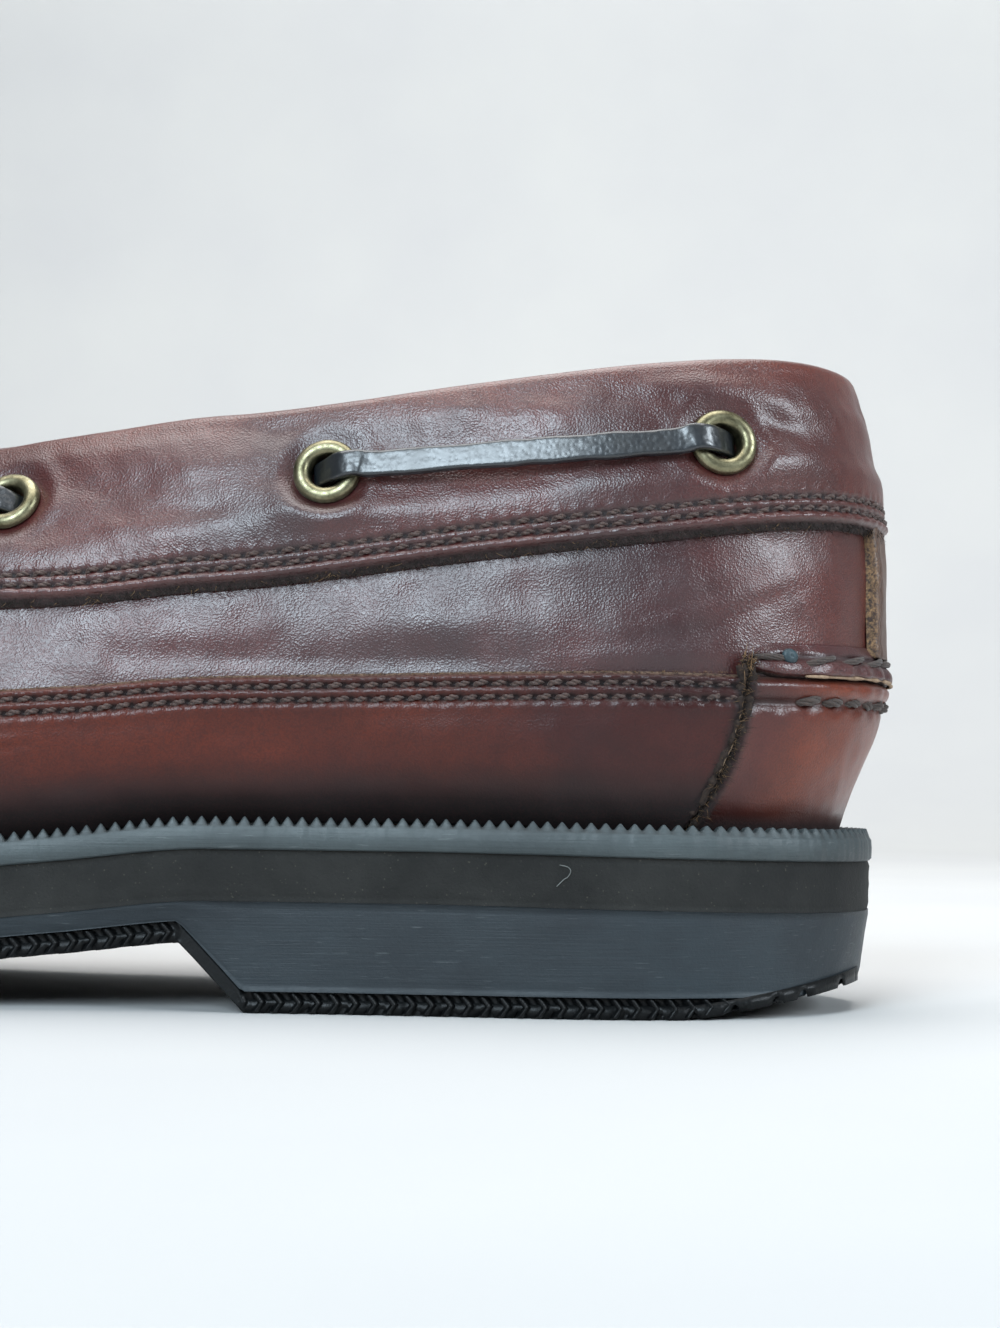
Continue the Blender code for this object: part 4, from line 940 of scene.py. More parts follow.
def build_heel_ridge(finish):
    """The quarters' edge, pinched into a roll over the patch by thick hand stitches."""
    reach_past = RIDGE_PAST_SEAM / ROUND
    low = patch_end(1.0, False) - 1 - reach_past
    high = patch_end(1.0, True) + reach_past * 0.6
    us = stations(low, high, 0.8)
    near = np.mod(us, 1.0)
    fade = ridge_profile(us, low, high)[:, None]
    count = 22
    share = np.linspace(0, 1, count)[None, :]
    droop = 0.5 * np.sin((us * ROUND)[:, None] / 7.0)
    rises = RIDGE_LOW + (RIDGE_HIGH - RIDGE_LOW) * share + droop * 0.4 + 0 * fade
    mid = (RIDGE_LOW + RIDGE_HIGH) / 2
    rises = mid + (rises - mid) * (0.45 + 0.55 * fade)
    ts = np.array([t_at_rise(near, rises[:, j]) for j in range(count)]).T
    p = (us * ROUND)[:, None] + 0 * ts
    arch = np.clip(share / 0.14, 0, 1) ** 0.5
    arch = arch * np.cos(math.pi / 2 * np.clip((share - 0.2) / 0.8, 0, 1)) ** 1.3
    gathers = 0.22 * np.cos(2 * math.pi * p / HAND_PITCH)
    lift = arch * (RIDGE_OUT + gathers + 0.22 * FINE(p, rises)) * fade
    lift -= 0.55 * bump(share, 0.60, 0.10) * fade
    out = -1.75 + lift
    tint = np.zeros((*ts.shape, 3))
    # Painted shade in the ridge's groove, and a little darker all over.
    tint[..., 0] = 0.6 * bump(share, 0.60, 0.14) + 0.10
    tint[..., 1] = 0.3 * (1 - share)
    tint[..., 2] = np.clip(1.5 - share / 0.07, 0, 1)
    points = backed(near, ts, out, RIDGE_BACK)
    return leather_sheet("heel_ridge", points, count, finish, tint)


STAY_SHOWN = 22.0


def build_back_stay(finish):
    """The upright strip over the seam at the back, its long edges raw."""
    half = STAY_SHOWN / 2
    columns = np.linspace(-half, half, 64)
    table = np.linspace(0, 0.1, 80)
    us = np.sign(columns) * np.interp(np.abs(columns), LOOP.at(table)[:, ACROSS] * BALL_WIDTH / 2, table)
    near = np.mod(us, 1.0)
    foot = t_at_rise(near, RIDGE_HIGH - 1.2)
    top = t_above(near, band_foot(near), 1.5)
    share = np.linspace(0, 1, 44)
    ts = foot[:, None] + (top - foot)[:, None] * share
    edge = (half - np.abs(columns))[:, None]
    height = share[None, :] * 21
    out = 0.0 * ts - 0.25 + 0.10 * FINE(columns[:, None], height)
    out -= 1.3 * np.clip(1 - edge / 0.9, 0, 1) ** 1.3 - 0.25 * bump(edge, 1.6, 0.8)
    out -= 0.10 * ROUGH(height * 1.2, edge) * np.clip(1.6 - edge, 0, 1)
    out += pucker(height, edge, 2.6, STITCH, 0.4, 0.25)
    tint = np.zeros((*ts.shape, 3))
    tint[..., 2] = np.clip(1.5 - edge / 0.9, 0, 1)
    # Painted shade along the stitch row's groove.
    tint[..., 0] = 0.4 * bump(edge, 2.6, 0.6)
    tint[..., 1] = 0.5
    points = backed(near, ts, out, OVERLAY_BACK)
    return leather_sheet("back_stay_leather", points, ts.shape[1], finish, tint)


PLUG_START = 0.634
PLUG_CREASES = (
    # how far ahead of the plug's start, depth
    (10, 0.9),
    (17, 0.6),
    (27, 0.45),
)


def build_plug(finish):
    """The vamp's plug with the puckered edge that the lower leather is gathered to."""
    back = PLUG_START * LENGTH
    tip = float(form_point(TOE_U, 1.0)[1]) - 1.2
    rows, columns = 90, 90
    turn = np.linspace(0, math.pi / 2 * 0.985, rows)
    places = back + (tip - back) * np.sin(turn)
    outer = form_point(u_at_along(places + 1.2 * np.sin(turn), True), 1.0)
    inner = form_point(u_at_along(places + 1.2 * np.sin(turn), False), 1.0)
    width = outer[:, 0] - inner[:, 0]
    share = np.linspace(0, 1, columns)[None, :]
    line = inner[:, None] + (outer - inner)[:, None] * share[..., None]
    line[..., 1] = places[:, None]
    fade = np.cos(turn)[:, None] ** 0.5 * np.minimum(1, width / 60)[:, None]
    across = np.minimum(share, 1 - share) * width[:, None]
    ahead = (tip - places)[:, None]
    edge = np.minimum(across, ahead * 0.9)
    round_p = places[:, None] + np.where(ahead < 26, line[..., 0], 0)
    up = PLUG_CROWN * fade * 4 * share * (1 - share) * 0.55
    up += 1.0 * bump(edge, 1.6, 1.3) - 0.55 * bump(edge, 3.6, 0.8)
    up += 0.22 * np.cos(2 * math.pi * round_p / MOC_PITCH) * np.exp(-((edge - 3.0) / 3.2) ** 2)
    up += 0.22 * SOFT(line[..., 0] + 11, line[..., 1])
    for ahead_of_start, depth in PLUG_CREASES:
        bow = back + ahead_of_start + 3.0 * np.cos(share * math.pi * 2)
        up -= depth * np.exp(-(((line[..., 1] - bow) / 1.7) ** 2)) * np.clip(across / 10, 0, 1)
    up -= 0.9 * np.clip(1 - edge / 0.8, 0, 1) ** 1.5
    line[..., 2] += up
    tint = np.zeros((rows, columns, 3))
    # Painted shade in the trough a little in from the edge.
    tint[..., 0] = 0.6 * bump(edge, 3.6, 0.8)
    tint[..., 1] = 0.45 + 0.3 * np.clip(1 - edge / 12, 0, 1)
    under = line[:, [-1, columns // 2, 0]] - np.array([0, 0, 1.7])
    points = np.concatenate([line, under], axis=1)
    return leather_sheet("plug_leather", points, columns, finish, tint)


def tongue_line(share):
    """The middle of the tongue at a share of LENGTH: height, half width and slope."""
    places = [row[0] for row in TONGUE][::-1]
    heights = monotone(places, [row[1] for row in TONGUE][::-1])
    widths = monotone(places, [row[2] for row in TONGUE][::-1])
    base = welt_top(0.68 * LENGTH)
    slope = (heights(share + 0.004) - heights(share - 0.004)) * UPPER_HEIGHT / (0.008 * LENGTH)
    return base + heights(share) * UPPER_HEIGHT, widths(share) * TONGUE_WIDTH / 2, slope


TONGUE_ROW = 3.2


def build_tongue(finish):
    """The arched tongue with a stitch row's groove and holes along its edge."""
    rows, columns = 96, 54
    shares = np.linspace(TONGUE[-1][0], TONGUE[0][0], rows)
    high, half, slope = (values[:, None] for values in tongue_line(shares))
    side = np.linspace(-1, 1, columns)[None, :]
    x = half * side
    s = shares[:, None] * LENGTH + 0 * x
    z = high - TONGUE_ARCH * x**2
    normal = unit(np.stack([2 * TONGUE_ARCH * x, -slope + 0 * x, np.ones_like(x)], -1))
    edge = np.minimum(half - np.abs(x), s - s[0])
    out = 0.30 * SOFT(x + 5, s) + 0.06 * FINE(x, s) - 0.3
    out += pucker(s + x, edge, TONGUE_ROW, STITCH, 0.35, 0.22)
    out -= 0.9 * np.clip(1 - edge / 0.9, 0, 1) ** 1.6
    line = np.stack([x, s, z], -1) + normal * out[..., None]
    under = np.stack([x, s, z], -1) - normal * 1.9
    under = under[:, [-1, columns * 3 // 4, columns // 2, columns // 4, 0]]
    tint = np.zeros((rows, columns, 3))
    # Painted shade along the stitch row's groove.
    tint[..., 0] = 0.4 * bump(edge, TONGUE_ROW, 0.6)
    tint[..., 1] = 0.4
    tint[..., 2] = np.clip(1.3 - edge / 0.7, 0, 1)
    return leather_sheet("tongue_leather", np.concatenate([line, under], axis=1), columns, finish, tint)


FOOTBED_INSET, HEEL_INSET_LESS = 8.6, 1.7
FOOTBED_RISE, HEEL_CUP, HEEL_PRESS, BALL_PRESS = 1.2, 1.6, 0.7, 0.6


def footbed_points(rows, columns, inset):
    """(across, along) of a grid inside the sole's edge, its rows close together at the ends."""
    places = LENGTH * (0.5 - 0.497 * np.cos(np.linspace(0, math.pi, rows)))
    inward = inset - HEEL_INSET_LESS * bump(places, 0, 25)
    sides = []
    for outer in (True, False):
        us = u_at_along(places, outer, ALONG)
        sides.append(np.stack(sole_edge(us, -inward)[:2], -1))
    share = np.linspace(0, 1, columns)[None, :, None]
    flat = sides[0][:, None] * (1 - share) + sides[1][:, None] * share
    return flat


def build_footbed(finish):
    """The insole's leather cover: cupped at the heel and worn smooth."""
    rows, columns = 150, 50
    flat = footbed_points(rows, columns, FOOTBED_INSET)
    x, s = flat[..., 0], flat[..., 1]
    share = np.linspace(-1, 1, columns)[None, :]
    z = welt_top(s) + FOOTBED_RISE + 2.0 * share**4
    z += HEEL_CUP * bump(s, 8, 16) + 0.10 * FINE(x, s)
    z -= HEEL_PRESS * bump(s, 34, 22) * bump(x, 0, 18)
    z -= BALL_PRESS * bump(s, 210, 30) * bump(x, 0, 30)
    top = np.stack([x, s, z], -1)
    under = np.stack([x, s, welt_top(s) - 2.4], -1)[:, [-1, 0]]
    tint = np.zeros((rows, columns, 3))
    tint[..., 0] = np.clip(0.9 - (1 - np.abs(share)) * 5, 0, 1) * 0.6
    return leather_sheet("footbed", np.concatenate([top, under], axis=1), columns, finish, tint)


WELT_TOOTH, TOOTH_HEIGHT = 2.1, 1.55
WORN_TEETH_END = 62


def sole_stations(step_fine, step_coarse):
    """Places once round the sole, close together on the outer heel half."""
    us = [0.0]
    while us[-1] < 1.0:
        here = us[-1] - 1 if us[-1] > 0.9 else us[-1]
        fine = here < FINE_TO and (us[-1] < 0.9 or here > FINE_FROM)
        us.append(us[-1] + (step_fine if fine else step_coarse) / ROUND)
    return np.array(us[:-1]) / us[-1]


def ring_at(edge, height, out):
    """One ring round the sole at a height and a distance out of its edge."""
    x0, s0, normal_x, normal_s = edge
    return np.stack([x0 + normal_x * out, s0 + normal_s * out, height + 0 * x0], -1)


def build_welt(finish):
    """The gimped welt: a row of pointed teeth on its shoulder, flat on top."""
    teeth = round(ROUND / WELT_TOOTH)
    us = sole_stations(WELT_TOOTH / 9, WELT_TOOTH / 6)
    phase = np.abs((us * teeth) % 1.0 - 0.5) * 2
    edge = sole_edge(us)
    s0 = edge[1]
    worn = np.clip(1.25 - s0 / WORN_TEETH_END, 0, 1)
    tooth = (1 - phase) * (1 - worn) + worn * (0.72 - 0.28 * np.cos(2 * math.pi * us * teeth))
    foot, top = midsole_top(s0) + 0.02, welt_top(s0)
    deep = np.clip((LOOP.at(us)[:, ALONG] - 0.05) / 0.4, 0, 1) * 1.2
    wear = 0.08 * ROUGH(us * ROUND * 0.8, 0) + 0.15 * SOFT(us * ROUND, 5)
    heights = [foot, foot + 0.35, top - 1.6 - deep * 0.2, top - 0.45, top - 0.25]
    outs = [0.10, 0.45, 0.5, 0.42, 0.30]
    for rise in (0.15, 0.35, 0.55, 0.75, 0.92, 1.0):
        level = np.minimum(rise, 0.06 + 0.96 * tooth)
        heights.append(top - 0.25 + TOOTH_HEIGHT * level)
        outs.append(0.22 - 0.55 * level - 1.5 * (rise - level))
    heights += [top - 0.30 + 1.45 * np.clip(tooth, 0.1, 1), top + 0.15, top, top - 0.2, foot]
    outs += [-1.75, -2.5, -4.2, -12.5, -12.6]
    rings = [ring_at(edge, height, out + wear * 0.5) for height, out in zip(heights, outs)]
    points = np.stack(rings, axis=1)
    tint = np.zeros((*points.shape[:2], 3))
    # Painted shade: dark in the notches between the teeth and on the welt's top behind them, under the upper.
    tint[:, 5:11, 0] = (1.0 * (1 - tooth))[:, None]
    tint[:, 12:15, 0] = 0.7
    faces = grid_faces(len(us), len(rings), True, True)
    return mesh_object("gimped_welt", points.reshape(-1, 3), faces, finish, tint.reshape(-1, 3))


def side_rings(us, rows):
    """Rings of (height, out) round the sole; each row gives both for its places along."""
    edge = sole_edge(us)
    return np.stack([ring_at(edge, height, out) for height, out in rows(edge[1])], axis=1)


def filled_layer(name, rings, finish):
    """A layer of the sole: its side from rings, its top and foot filled across."""
    count, size = rings.shape[:2]
    half = count // 2
    faces = [tuple(face) for face in grid_faces(count, size, True)]
    for row, flip in ((0, False), (size - 1, True)):
        for i in range(half):
            a, b = i * size + row, (i + 1) * size + row
            c, d = ((count - i - 1) % count) * size + row, ((count - i) % count) * size + row
            face = [a, b, c, d] if i else [a, b, c]
            if b == c:
                continue
            faces.append(tuple(face if flip else face[::-1]))
    return mesh_object(name, rings.reshape(-1, 3), faces, finish)


def paired_stations(step):
    """Places along both sides that lie straight across from each other."""
    count = int(LENGTH / step)
    turn = np.linspace(0, math.pi, count)
    even = np.linspace(0, LENGTH, count)
    places = 0.8 * even + 0.2 * (1 - np.cos(turn)) / 2 * LENGTH
    outer = u_at_along(places, True, ALONG)
    inner = u_at_along(places[1:-1][::-1], False, ALONG)
    return np.concatenate([outer, inner])


def build_midsole(finish):
    """The foam layer, its corners a little worn and its side porous."""
    us = paired_stations(0.8)

    def rows(s):
        low, high = outsole_top(s), midsole_top(s)
        tall = high - low
        for share in np.linspace(0, 1, 9):
            edge = min(share, 1 - share)
            out = -0.25 * max(0.0, 1 - edge / 0.06)
            rough = 0.035 * ROUGH(us * ROUND, share * 7) + 0.05 * FINE(us * ROUND, share * 7)
            yield high - tall * share, out + rough
    return filled_layer("foam_midsole", side_rings(us, rows), finish)


def build_outsole(finish):
    """The blue-grey rubber, drawn in towards its foot."""
    us = paired_stations(0.8)

    def rows(s):
        high = outsole_top(s) - 0.02
        low = np.minimum(tread_side_top(s) + 0.02, high - 0.3)
        for share in np.linspace(0, 1, 12):
            edge = min(share, 1 - share)
            out = -SOLE_TAPER * share - 0.12 * max(0.0, 1 - edge / 0.05)
            rough = 0.03 * FINE(us * ROUND, share * 14)
            rough = rough + 0.012 * ROUGH(us * ROUND * 0.2, share * 30)
            yield high + (low - high) * share, out + rough
    return filled_layer("rubber_outsole", side_rings(us, rows), finish)


def tread_side_top(along):
    """The black tread's upper edge at the side: level over the heel's bevel."""
    foot = tread_foot(along)
    share = np.asarray(along, float) / LENGTH
    level = np.maximum(TREAD, foot + 0.15)
    return np.where(share < HEEL_FLAT_START, level, foot + TREAD)


CHEVRON, CHEVRON_BEND = 2.75, 2.3
RIB_DEPTH, FOOT_RIB, FOOT_RIB_DEPTH = 1.45, 5.2, 1.2


def build_tread(finish):
    """The black tread's side with chevron ribs; build_tread_foot makes the wavy ribs across its foot."""
    us = sole_stations(CHEVRON / 11, CHEVRON / 7)
    edge = sole_edge(us)
    s0 = edge[1]
    foot, top = tread_foot(s0), tread_side_top(s0)
    tall = top - foot
    share_along = s0 / LENGTH
    breast = np.clip(1 - np.abs(share_along - (BREAST_FOOT + BREAST_TOP) / 2) / 0.021, 0, 1)
    ribs = 1 - np.clip(breast * 3, 0, 1)
    toward_heel = np.where(us < TOE_U, 1.0, -1.0)
    rings = []
    for share in np.linspace(0, 1, 13):
        bend = (0.5 - abs(share - 0.5)) * CHEVRON_BEND
        phase = ((us * ROUND + toward_heel * bend) / CHEVRON) % 1.0
        ridge = np.clip(1.25 - np.abs(phase - 0.5) / 0.24, 0, 1)
        inside = 1 if 0.04 < share < 0.97 else 0
        out = -SOLE_TAPER - 1.55 + (RIB_DEPTH * ridge * ribs + 0.85 * (1 - ribs)) * inside
        out += 0.35 * (share < 0.04)
        rings.append(ring_at(edge, top - tall * share, out))
    points = np.stack(rings, axis=1)
    faces = grid_faces(len(us), len(rings), True)
    return mesh_object("tread_side", points.reshape(-1, 3), faces, finish)


def build_tread_foot(finish):
    """The ribbed underside, a sheet a little inside the tread's edge."""
    rows, columns = 520, 34
    flat = footbed_points(rows, columns, SOLE_TAPER + 1.1)
    x, s = flat[..., 0], flat[..., 1]
    zigzag = 2.2 * np.abs(((x / 9.0) % 1.0) - 0.5) * 2
    phase = ((s + zigzag) / FOOT_RIB) % 1.0
    groove = np.clip((np.abs(phase - 0.5) - 0.31) / 0.08, 0, 1)
    breast = np.clip(1 - np.abs(s / LENGTH - (BREAST_FOOT + BREAST_TOP) / 2) / 0.024, 0, 1)
    z = tread_foot(s) + FOOT_RIB_DEPTH * groove * (1 - np.clip(breast * 3, 0, 1))
    top = np.stack([x, s, z], -1)
    lid = np.stack([x, s, tread_foot(s) + 2.0], -1)[:, [-1, 0]]
    points = np.concatenate([top, lid], axis=1)[:, ::-1]
    size = points.shape[1]
    return leather_sheet("tread_foot", points, size, finish, np.zeros((rows, size, 3)))


def row_path(us, t_of, out):
    """Points and normals of a stitch row on the form."""
    near = np.mod(us, 1.0)
    ts = t_of(near)
    return skin(near, ts, out), form_normal(near, ts)


def twisted_stitches(name, starts, ends, normals, finish, thick=0.30, turns=1.15, rings=9, sides=6,
                     sink=0.55, lift=0.42, plies=2, slack=0.08, seed=1, spread=0.86):
    """Stitches between pairs of holes, each of plies twisted round each other."""
    random = np.random.default_rng(seed)
    count = len(starts)
    x = np.linspace(0, 1, rings)[None, :, None]
    centre = starts[:, None] * (1 - x) + ends[:, None] * x
    arch = np.sin(math.pi * x) ** 0.6
    high = -sink + (sink + lift) * arch * (1 + 0.12 * random.standard_normal((count, 1, 1)))
    up = normals[:, None]
    centre = centre + up * high
    along = unit(ends - starts)
    side = np.cross(along, normals)[:, None]
    centre = centre + side * random.standard_normal((count, 1, 1)) * slack * arch
    start_turn = random.random((count, 1, 1)) * 0.9
    centres, ups, radii = [], [], []
    for ply in range(plies):
        turn = 2 * math.pi * (x * turns + ply / plies + start_turn)
        away = thick * spread * np.sin(math.pi * np.clip(x, 0.04, 0.96)) ** 0.35
        centres.append(centre + away * (np.cos(turn) * side + np.sin(turn) * up))
        ups.append(np.broadcast_to(up, centre.shape))
        taper = 0.72 + 0.28 * np.sin(math.pi * x[..., 0]) ** 0.5
        radii.append(np.broadcast_to(thick * taper, centre.shape[:2]))
    points, faces = tubes(np.concatenate(centres), np.concatenate(ups), np.concatenate(radii), sides)
    return mesh_object(name, points, faces, finish)


def stitch_ends(u_from, u_to, t_of, out, pitch, fill=0.86, shift=0.0):
    """Hole pairs of a row from u_from to u_to: each stitch fills that share of its pitch."""
    first = math.ceil((u_from * ROUND + shift) / pitch)
    last = math.floor((u_to * ROUND + shift) / pitch)
    holes = (np.arange(first, last) * pitch - shift) / ROUND
    rest = (1 - fill) / 2 * pitch / ROUND
    starts, _ = row_path(holes + rest, t_of, out)
    ends, _ = row_path(holes + pitch / ROUND - rest, t_of, out)
    _, normals = row_path(holes + pitch / 2 / ROUND, t_of, out)
    return starts, ends, normals


def band_row_t(height):
    """t of a stitch row that lies height over the band's foot, as a function of u."""
    def at(us):
        return t_above(us, band_foot(us), height)
    return at


def wrap_row_t(drop):
    """t of a stitch row that lies drop under the wrap's top edge, as a function of u."""
    def at(us):
        return t_above(us, wrap_top(us), -drop)
    return at


STITCH_SLANT = 0.26
BAND_END_FREE, SEAM_FREE, VAMP_FREE = 3, 1.8, 6


def machine_rows(finish):
    """The two rows on the band's foot and the two under the wrap's top edge."""
    wrap_start = patch_end(0.8, True) + SEAM_FREE / ROUND
    wrap_end = patch_end(0.8, False) - SEAM_FREE / ROUND
    vamp_start, vamp_end = BAND_TO + VAMP_FREE / ROUND, BAND_FROM + 1 - VAMP_FREE / ROUND
    band_start, band_end = BAND_FROM + BAND_END_FREE / ROUND, BAND_TO - BAND_END_FREE / ROUND
    rows = [
        ("band_row_one", band_start, band_end, band_row_t(BAND_ROW_ONE), 0.0),
        ("band_row_two", band_start, band_end, band_row_t(BAND_ROW_TWO), BAND_ROWS_APART),
        ("wrap_row_one", wrap_start, vamp_start, wrap_row_t(WRAP_ROW_ONE), 0.0),
        ("wrap_row_two", wrap_start, vamp_start, wrap_row_t(WRAP_ROW_TWO), WRAP_ROWS_APART),
        ("wrap_row_one_inner", vamp_end, wrap_end, wrap_row_t(WRAP_ROW_ONE), 0.0),
        ("wrap_row_two_inner", vamp_end, wrap_end, wrap_row_t(WRAP_ROW_TWO), WRAP_ROWS_APART),
    ]
    for seed, (name, start, end, t_of, shift) in enumerate(rows):
        starts, ends, normals = stitch_ends(start, end, t_of, -0.30, STITCH, 0.80, shift)
        across = unit(np.cross(ends - starts, normals))
        across *= np.sign(across[:, 2:3]) * STITCH_SLANT
        twisted_stitches(name, starts + across, ends - across, normals, finish, thick=0.25,
                         seed=seed + 3, rings=9,
                         sides=6, sink=0.60, lift=0.33)


def moc_stitches(finish):
    """Hand stitches over the vamp's puckered seam, across it from wrap to plug."""
    start, end = BAND_TO + 5 / ROUND, BAND_FROM + 1 - 5 / ROUND
    count = int((end - start) * ROUND / MOC_PITCH)
    us = start + (np.arange(count) + 0.5) * MOC_PITCH / ROUND
    outer = skin(us, wrap_row_t(3.0)(us), 0.0)
    top, normal = form_point(us, 1.0), form_normal(us, 0.99)
    flat = -np.stack([sole_edge(us)[2], sole_edge(us)[3], np.zeros(count)], -1)
    inner = top + flat * 3.2 + np.array([0, 0, 0.8])
    upward = unit(normal + np.array([0, 0, 1.0]))
    twisted_stitches("moc_seam_stitches", outer, inner, upward, finish, thick=0.36, turns=1.6,
                     rings=12, sides=6, sink=0.5, lift=1.9, seed=21)


RIDGE_ROW = 25.8
HAND_ROWS = (
    # name, rise, wave, pitch, out, past the seam, lift, thick, plies, spread, seed
    ("ridge_stitches", RIDGE_ROW, 0.45, LONG_PITCH, -0.45, 5.4, 0.62, 0.19, 6, 1.7, 31),
    ("patch_stitches", PATCH_ROW, 0.08, HAND_PITCH, -0.85, -0.1, 0.84, 0.36, 4, 1.1, 32),
)


def heel_stitches(finish):
    """The thick hand stitches above and below the pinched ridge at the heel."""
    _, low, high = patch_stations()
    for name, rise, wave, pitch, out, past, lift, thick, plies, spread, seed in HAND_ROWS:
        def t_of(near, rise=rise, wave=wave):
            droop = wave * np.sin(np.where(near > 0.5, near - 1, near) * ROUND / 6.0)
            return t_at_rise(near, rise + droop)
        starts, ends, normals = stitch_ends(low - past / ROUND, high + past / ROUND,
                                            t_of, out, pitch, 0.96)
        lean = np.random.default_rng(seed).standard_normal((len(starts), 1)) * 0.3
        starts[:, 2:] += lean + 0.35
        ends[:, 2:] -= lean + 0.35
        twisted_stitches(name, starts, ends, normals, finish, thick=thick, turns=0.55, rings=15,
                         sides=6, sink=0.5, lift=lift, plies=plies, slack=0.15, seed=seed,
                         spread=spread)


SEAM_TOP, SEAM_LIP_ROUND = 24.2, 0.74
SEAM_ROWS, PALE_ROWS = 90, slice(34, 74)
KNOT_HAIRS, KNOT_SPREAD = 46, 0.55
DOT_ALONG, DOT_RISE = 13.4, 25.9


def build_heel_details(raw, cream, tan, dot_finish):
    """The raw lips of the butted heel seams, the knots at their tops and a dab of glue."""
    for side, outer in SIDES:
        top = float(t_at_rise(patch_end(0.3, outer), SEAM_TOP)[0])
        ts = np.linspace(0.01, top, SEAM_ROWS)
        near = patch_edge_u(ts, outer)
        line, normals = skin(near, ts, -0.40), form_normal(near, ts)
        along = unit(np.gradient(line, axis=0))
        across = np.cross(along, normals)
        place = np.linspace(0, 34, len(ts))
        wander = 0.10 * FINE(place * 2.0, 0.0)
        lips = (-SEAM_LIP_ROUND, SEAM_LIP_ROUND)
        pair = np.stack([line + across * (wander + shift)[:, None] for shift in lips])
        rough = [0.12 * ROUGH(place, 7.0 * k) + 0.06 * FINE(place * 3, k) for k in (1, 2)]
        radii = SEAM_LIP_ROUND + np.stack(rough)
        points, faces = tubes(pair, np.stack([normals, normals]), radii, 9)
        mesh_object(f"heel_seam_lips_{side}", points, faces, raw)
        thin = line + across * (wander[:, None] + 0.35) + normals * 0.52
        radii = 0.08 + 0.03 * ROUGH(place[None, PALE_ROWS], 3)
        points, faces = tubes(thin[None, PALE_ROWS], normals[None, PALE_ROWS], radii, 5)
        mesh_object(f"heel_seam_line_{side}", points, faces, cream)
        end, normal = line[-1], normals[-1]
        random = np.random.default_rng(61)
        roots = end + random.standard_normal((KNOT_HAIRS, 3)) * KNOT_SPREAD
        spread = random.standard_normal((KNOT_HAIRS, 3)) * 0.6 + normal * 0.5
        fibres(f"heel_seam_knot_{side}", roots, spread, np.tile(along[-1], (KNOT_HAIRS, 1)),
               np.tile(normal, (KNOT_HAIRS, 1)), tan, 0.75, 0.12, 62, 1.6)
    dot_u = float(u_at_along(DOT_ALONG, True, ALONG))
    dot_t = float(t_at_rise(dot_u, DOT_RISE)[0])
    drop = [(0.02, -0.4), (1.15, -0.4), (1.2, 0.0), (0.95, 0.32), (0.5, 0.48), (0.02, 0.52)]
    turned_mesh("blue_dab", drop, 20, dot_finish, dot_u, dot_t, 0.15, 0.12)


def build_ridge_edge(cream):
    """The pale cut edge that shows under the heel's ridge."""
    _, low, high = patch_stations()
    us = np.linspace(low + 2.5 / ROUND, high - 5.0 / ROUND, 150)
    near = np.mod(us, 1.0)
    ts = t_at_rise(near, RIDGE_LOW + 0.35 + 0.2 * np.sin(us * ROUND / 7.0))
    place = us * ROUND
    line = skin(near, ts, 0.30 + 0.20 * FINE(place, 40.0))
    radii = np.clip(0.24 + 0.10 * FINE(place * 1.5, 12.0), 0.06, 0.4)
    points, faces = tubes(line[None], form_normal(near, ts)[None], radii[None], 6)
    mesh_object("ridge_cut_edge", points, faces, cream)


SCUFFS, SCUFFS_FROM, SCUFFS_REACH = 26, 12.0, 13.0
HAIR = (
    # along, drop under the midsole's top
    (45.0, 4.4),
    (44.0, 3.4),
    (43.4, 3.0),
    (43.0, 2.2),
    (43.4, 1.6),
    (44.6, 1.3),
)


def build_scuffs(finish, dust):
    """Pale scratches on the heel patch, and a hair on the sole's side."""
    random = np.random.default_rng(71)
    us = (SCUFFS_FROM + SCUFFS_REACH * random.random(SCUFFS)) / ROUND
    rise = 7.5 + 9.0 * random.random(SCUFFS)
    t = t_at_rise(us, rise)
    roots, normals = skin(us, t, 0.02), form_normal(us, t)
    upward = np.tile(np.array([0.0, 0.25, 1.0]), (SCUFFS, 1))
    fibres("heel_scuffs", roots, upward, np.cross(upward, normals), normals * 0.03, finish,
           1.5, 0.05, 72)
    hair_along, hair_drop = np.array(HAIR).T
    x0, s0, _, _ = sole_edge(u_at_along(hair_along, True, ALONG), 0.28)
    curl = np.stack([x0, s0, midsole_top(HAIR[0][0]) - hair_drop], -1)
    curl = smooth_path(curl, 6)
    facing = np.tile(np.array([1.0, 0.0, 0.0]), (len(curl), 1))
    points, faces = tubes(curl[None], facing[None], np.full((1, len(curl)), 0.07), 5)
    mesh_object("sole_hair", points, faces, dust)


def fibres(name, roots, outwards, along, normals, finish, length, thick, seed, droop=0.5):
    """Short bent hairs that stand out of a raw edge."""
    random = np.random.default_rng(seed)
    count, rings = len(roots), 4
    reach = length * (0.35 + random.random((count, 1, 1)) ** 2 * 1.3)
    lean = random.standard_normal((count, 1, 1)) * 0.8
    rise = random.standard_normal((count, 1, 1)) * 0.55 + 0.15
    bend = random.standard_normal((count, 1, 1)) * droop
    x = np.linspace(0, 1, rings)[None, :, None]
    direction = outwards[:, None] + lean * along[:, None] + rise * normals[:, None]
    path = roots[:, None] + direction * reach * x + along[:, None] * bend * reach * x**2
    radii = thick * (1 - 0.75 * x[..., 0]) * (0.7 + 0.6 * random.random((count, 1)))
    points, faces = tubes(path, np.broadcast_to(normals[:, None], path.shape), radii, 3)
    return mesh_object(name, points, faces, finish)


BAND_FUZZ_PER_MM, WRAP_FUZZ_PER_MM = 9.0, 4.0
SEAM_FUZZ, SEAM_FUZZ_TOP = 900, 26.0


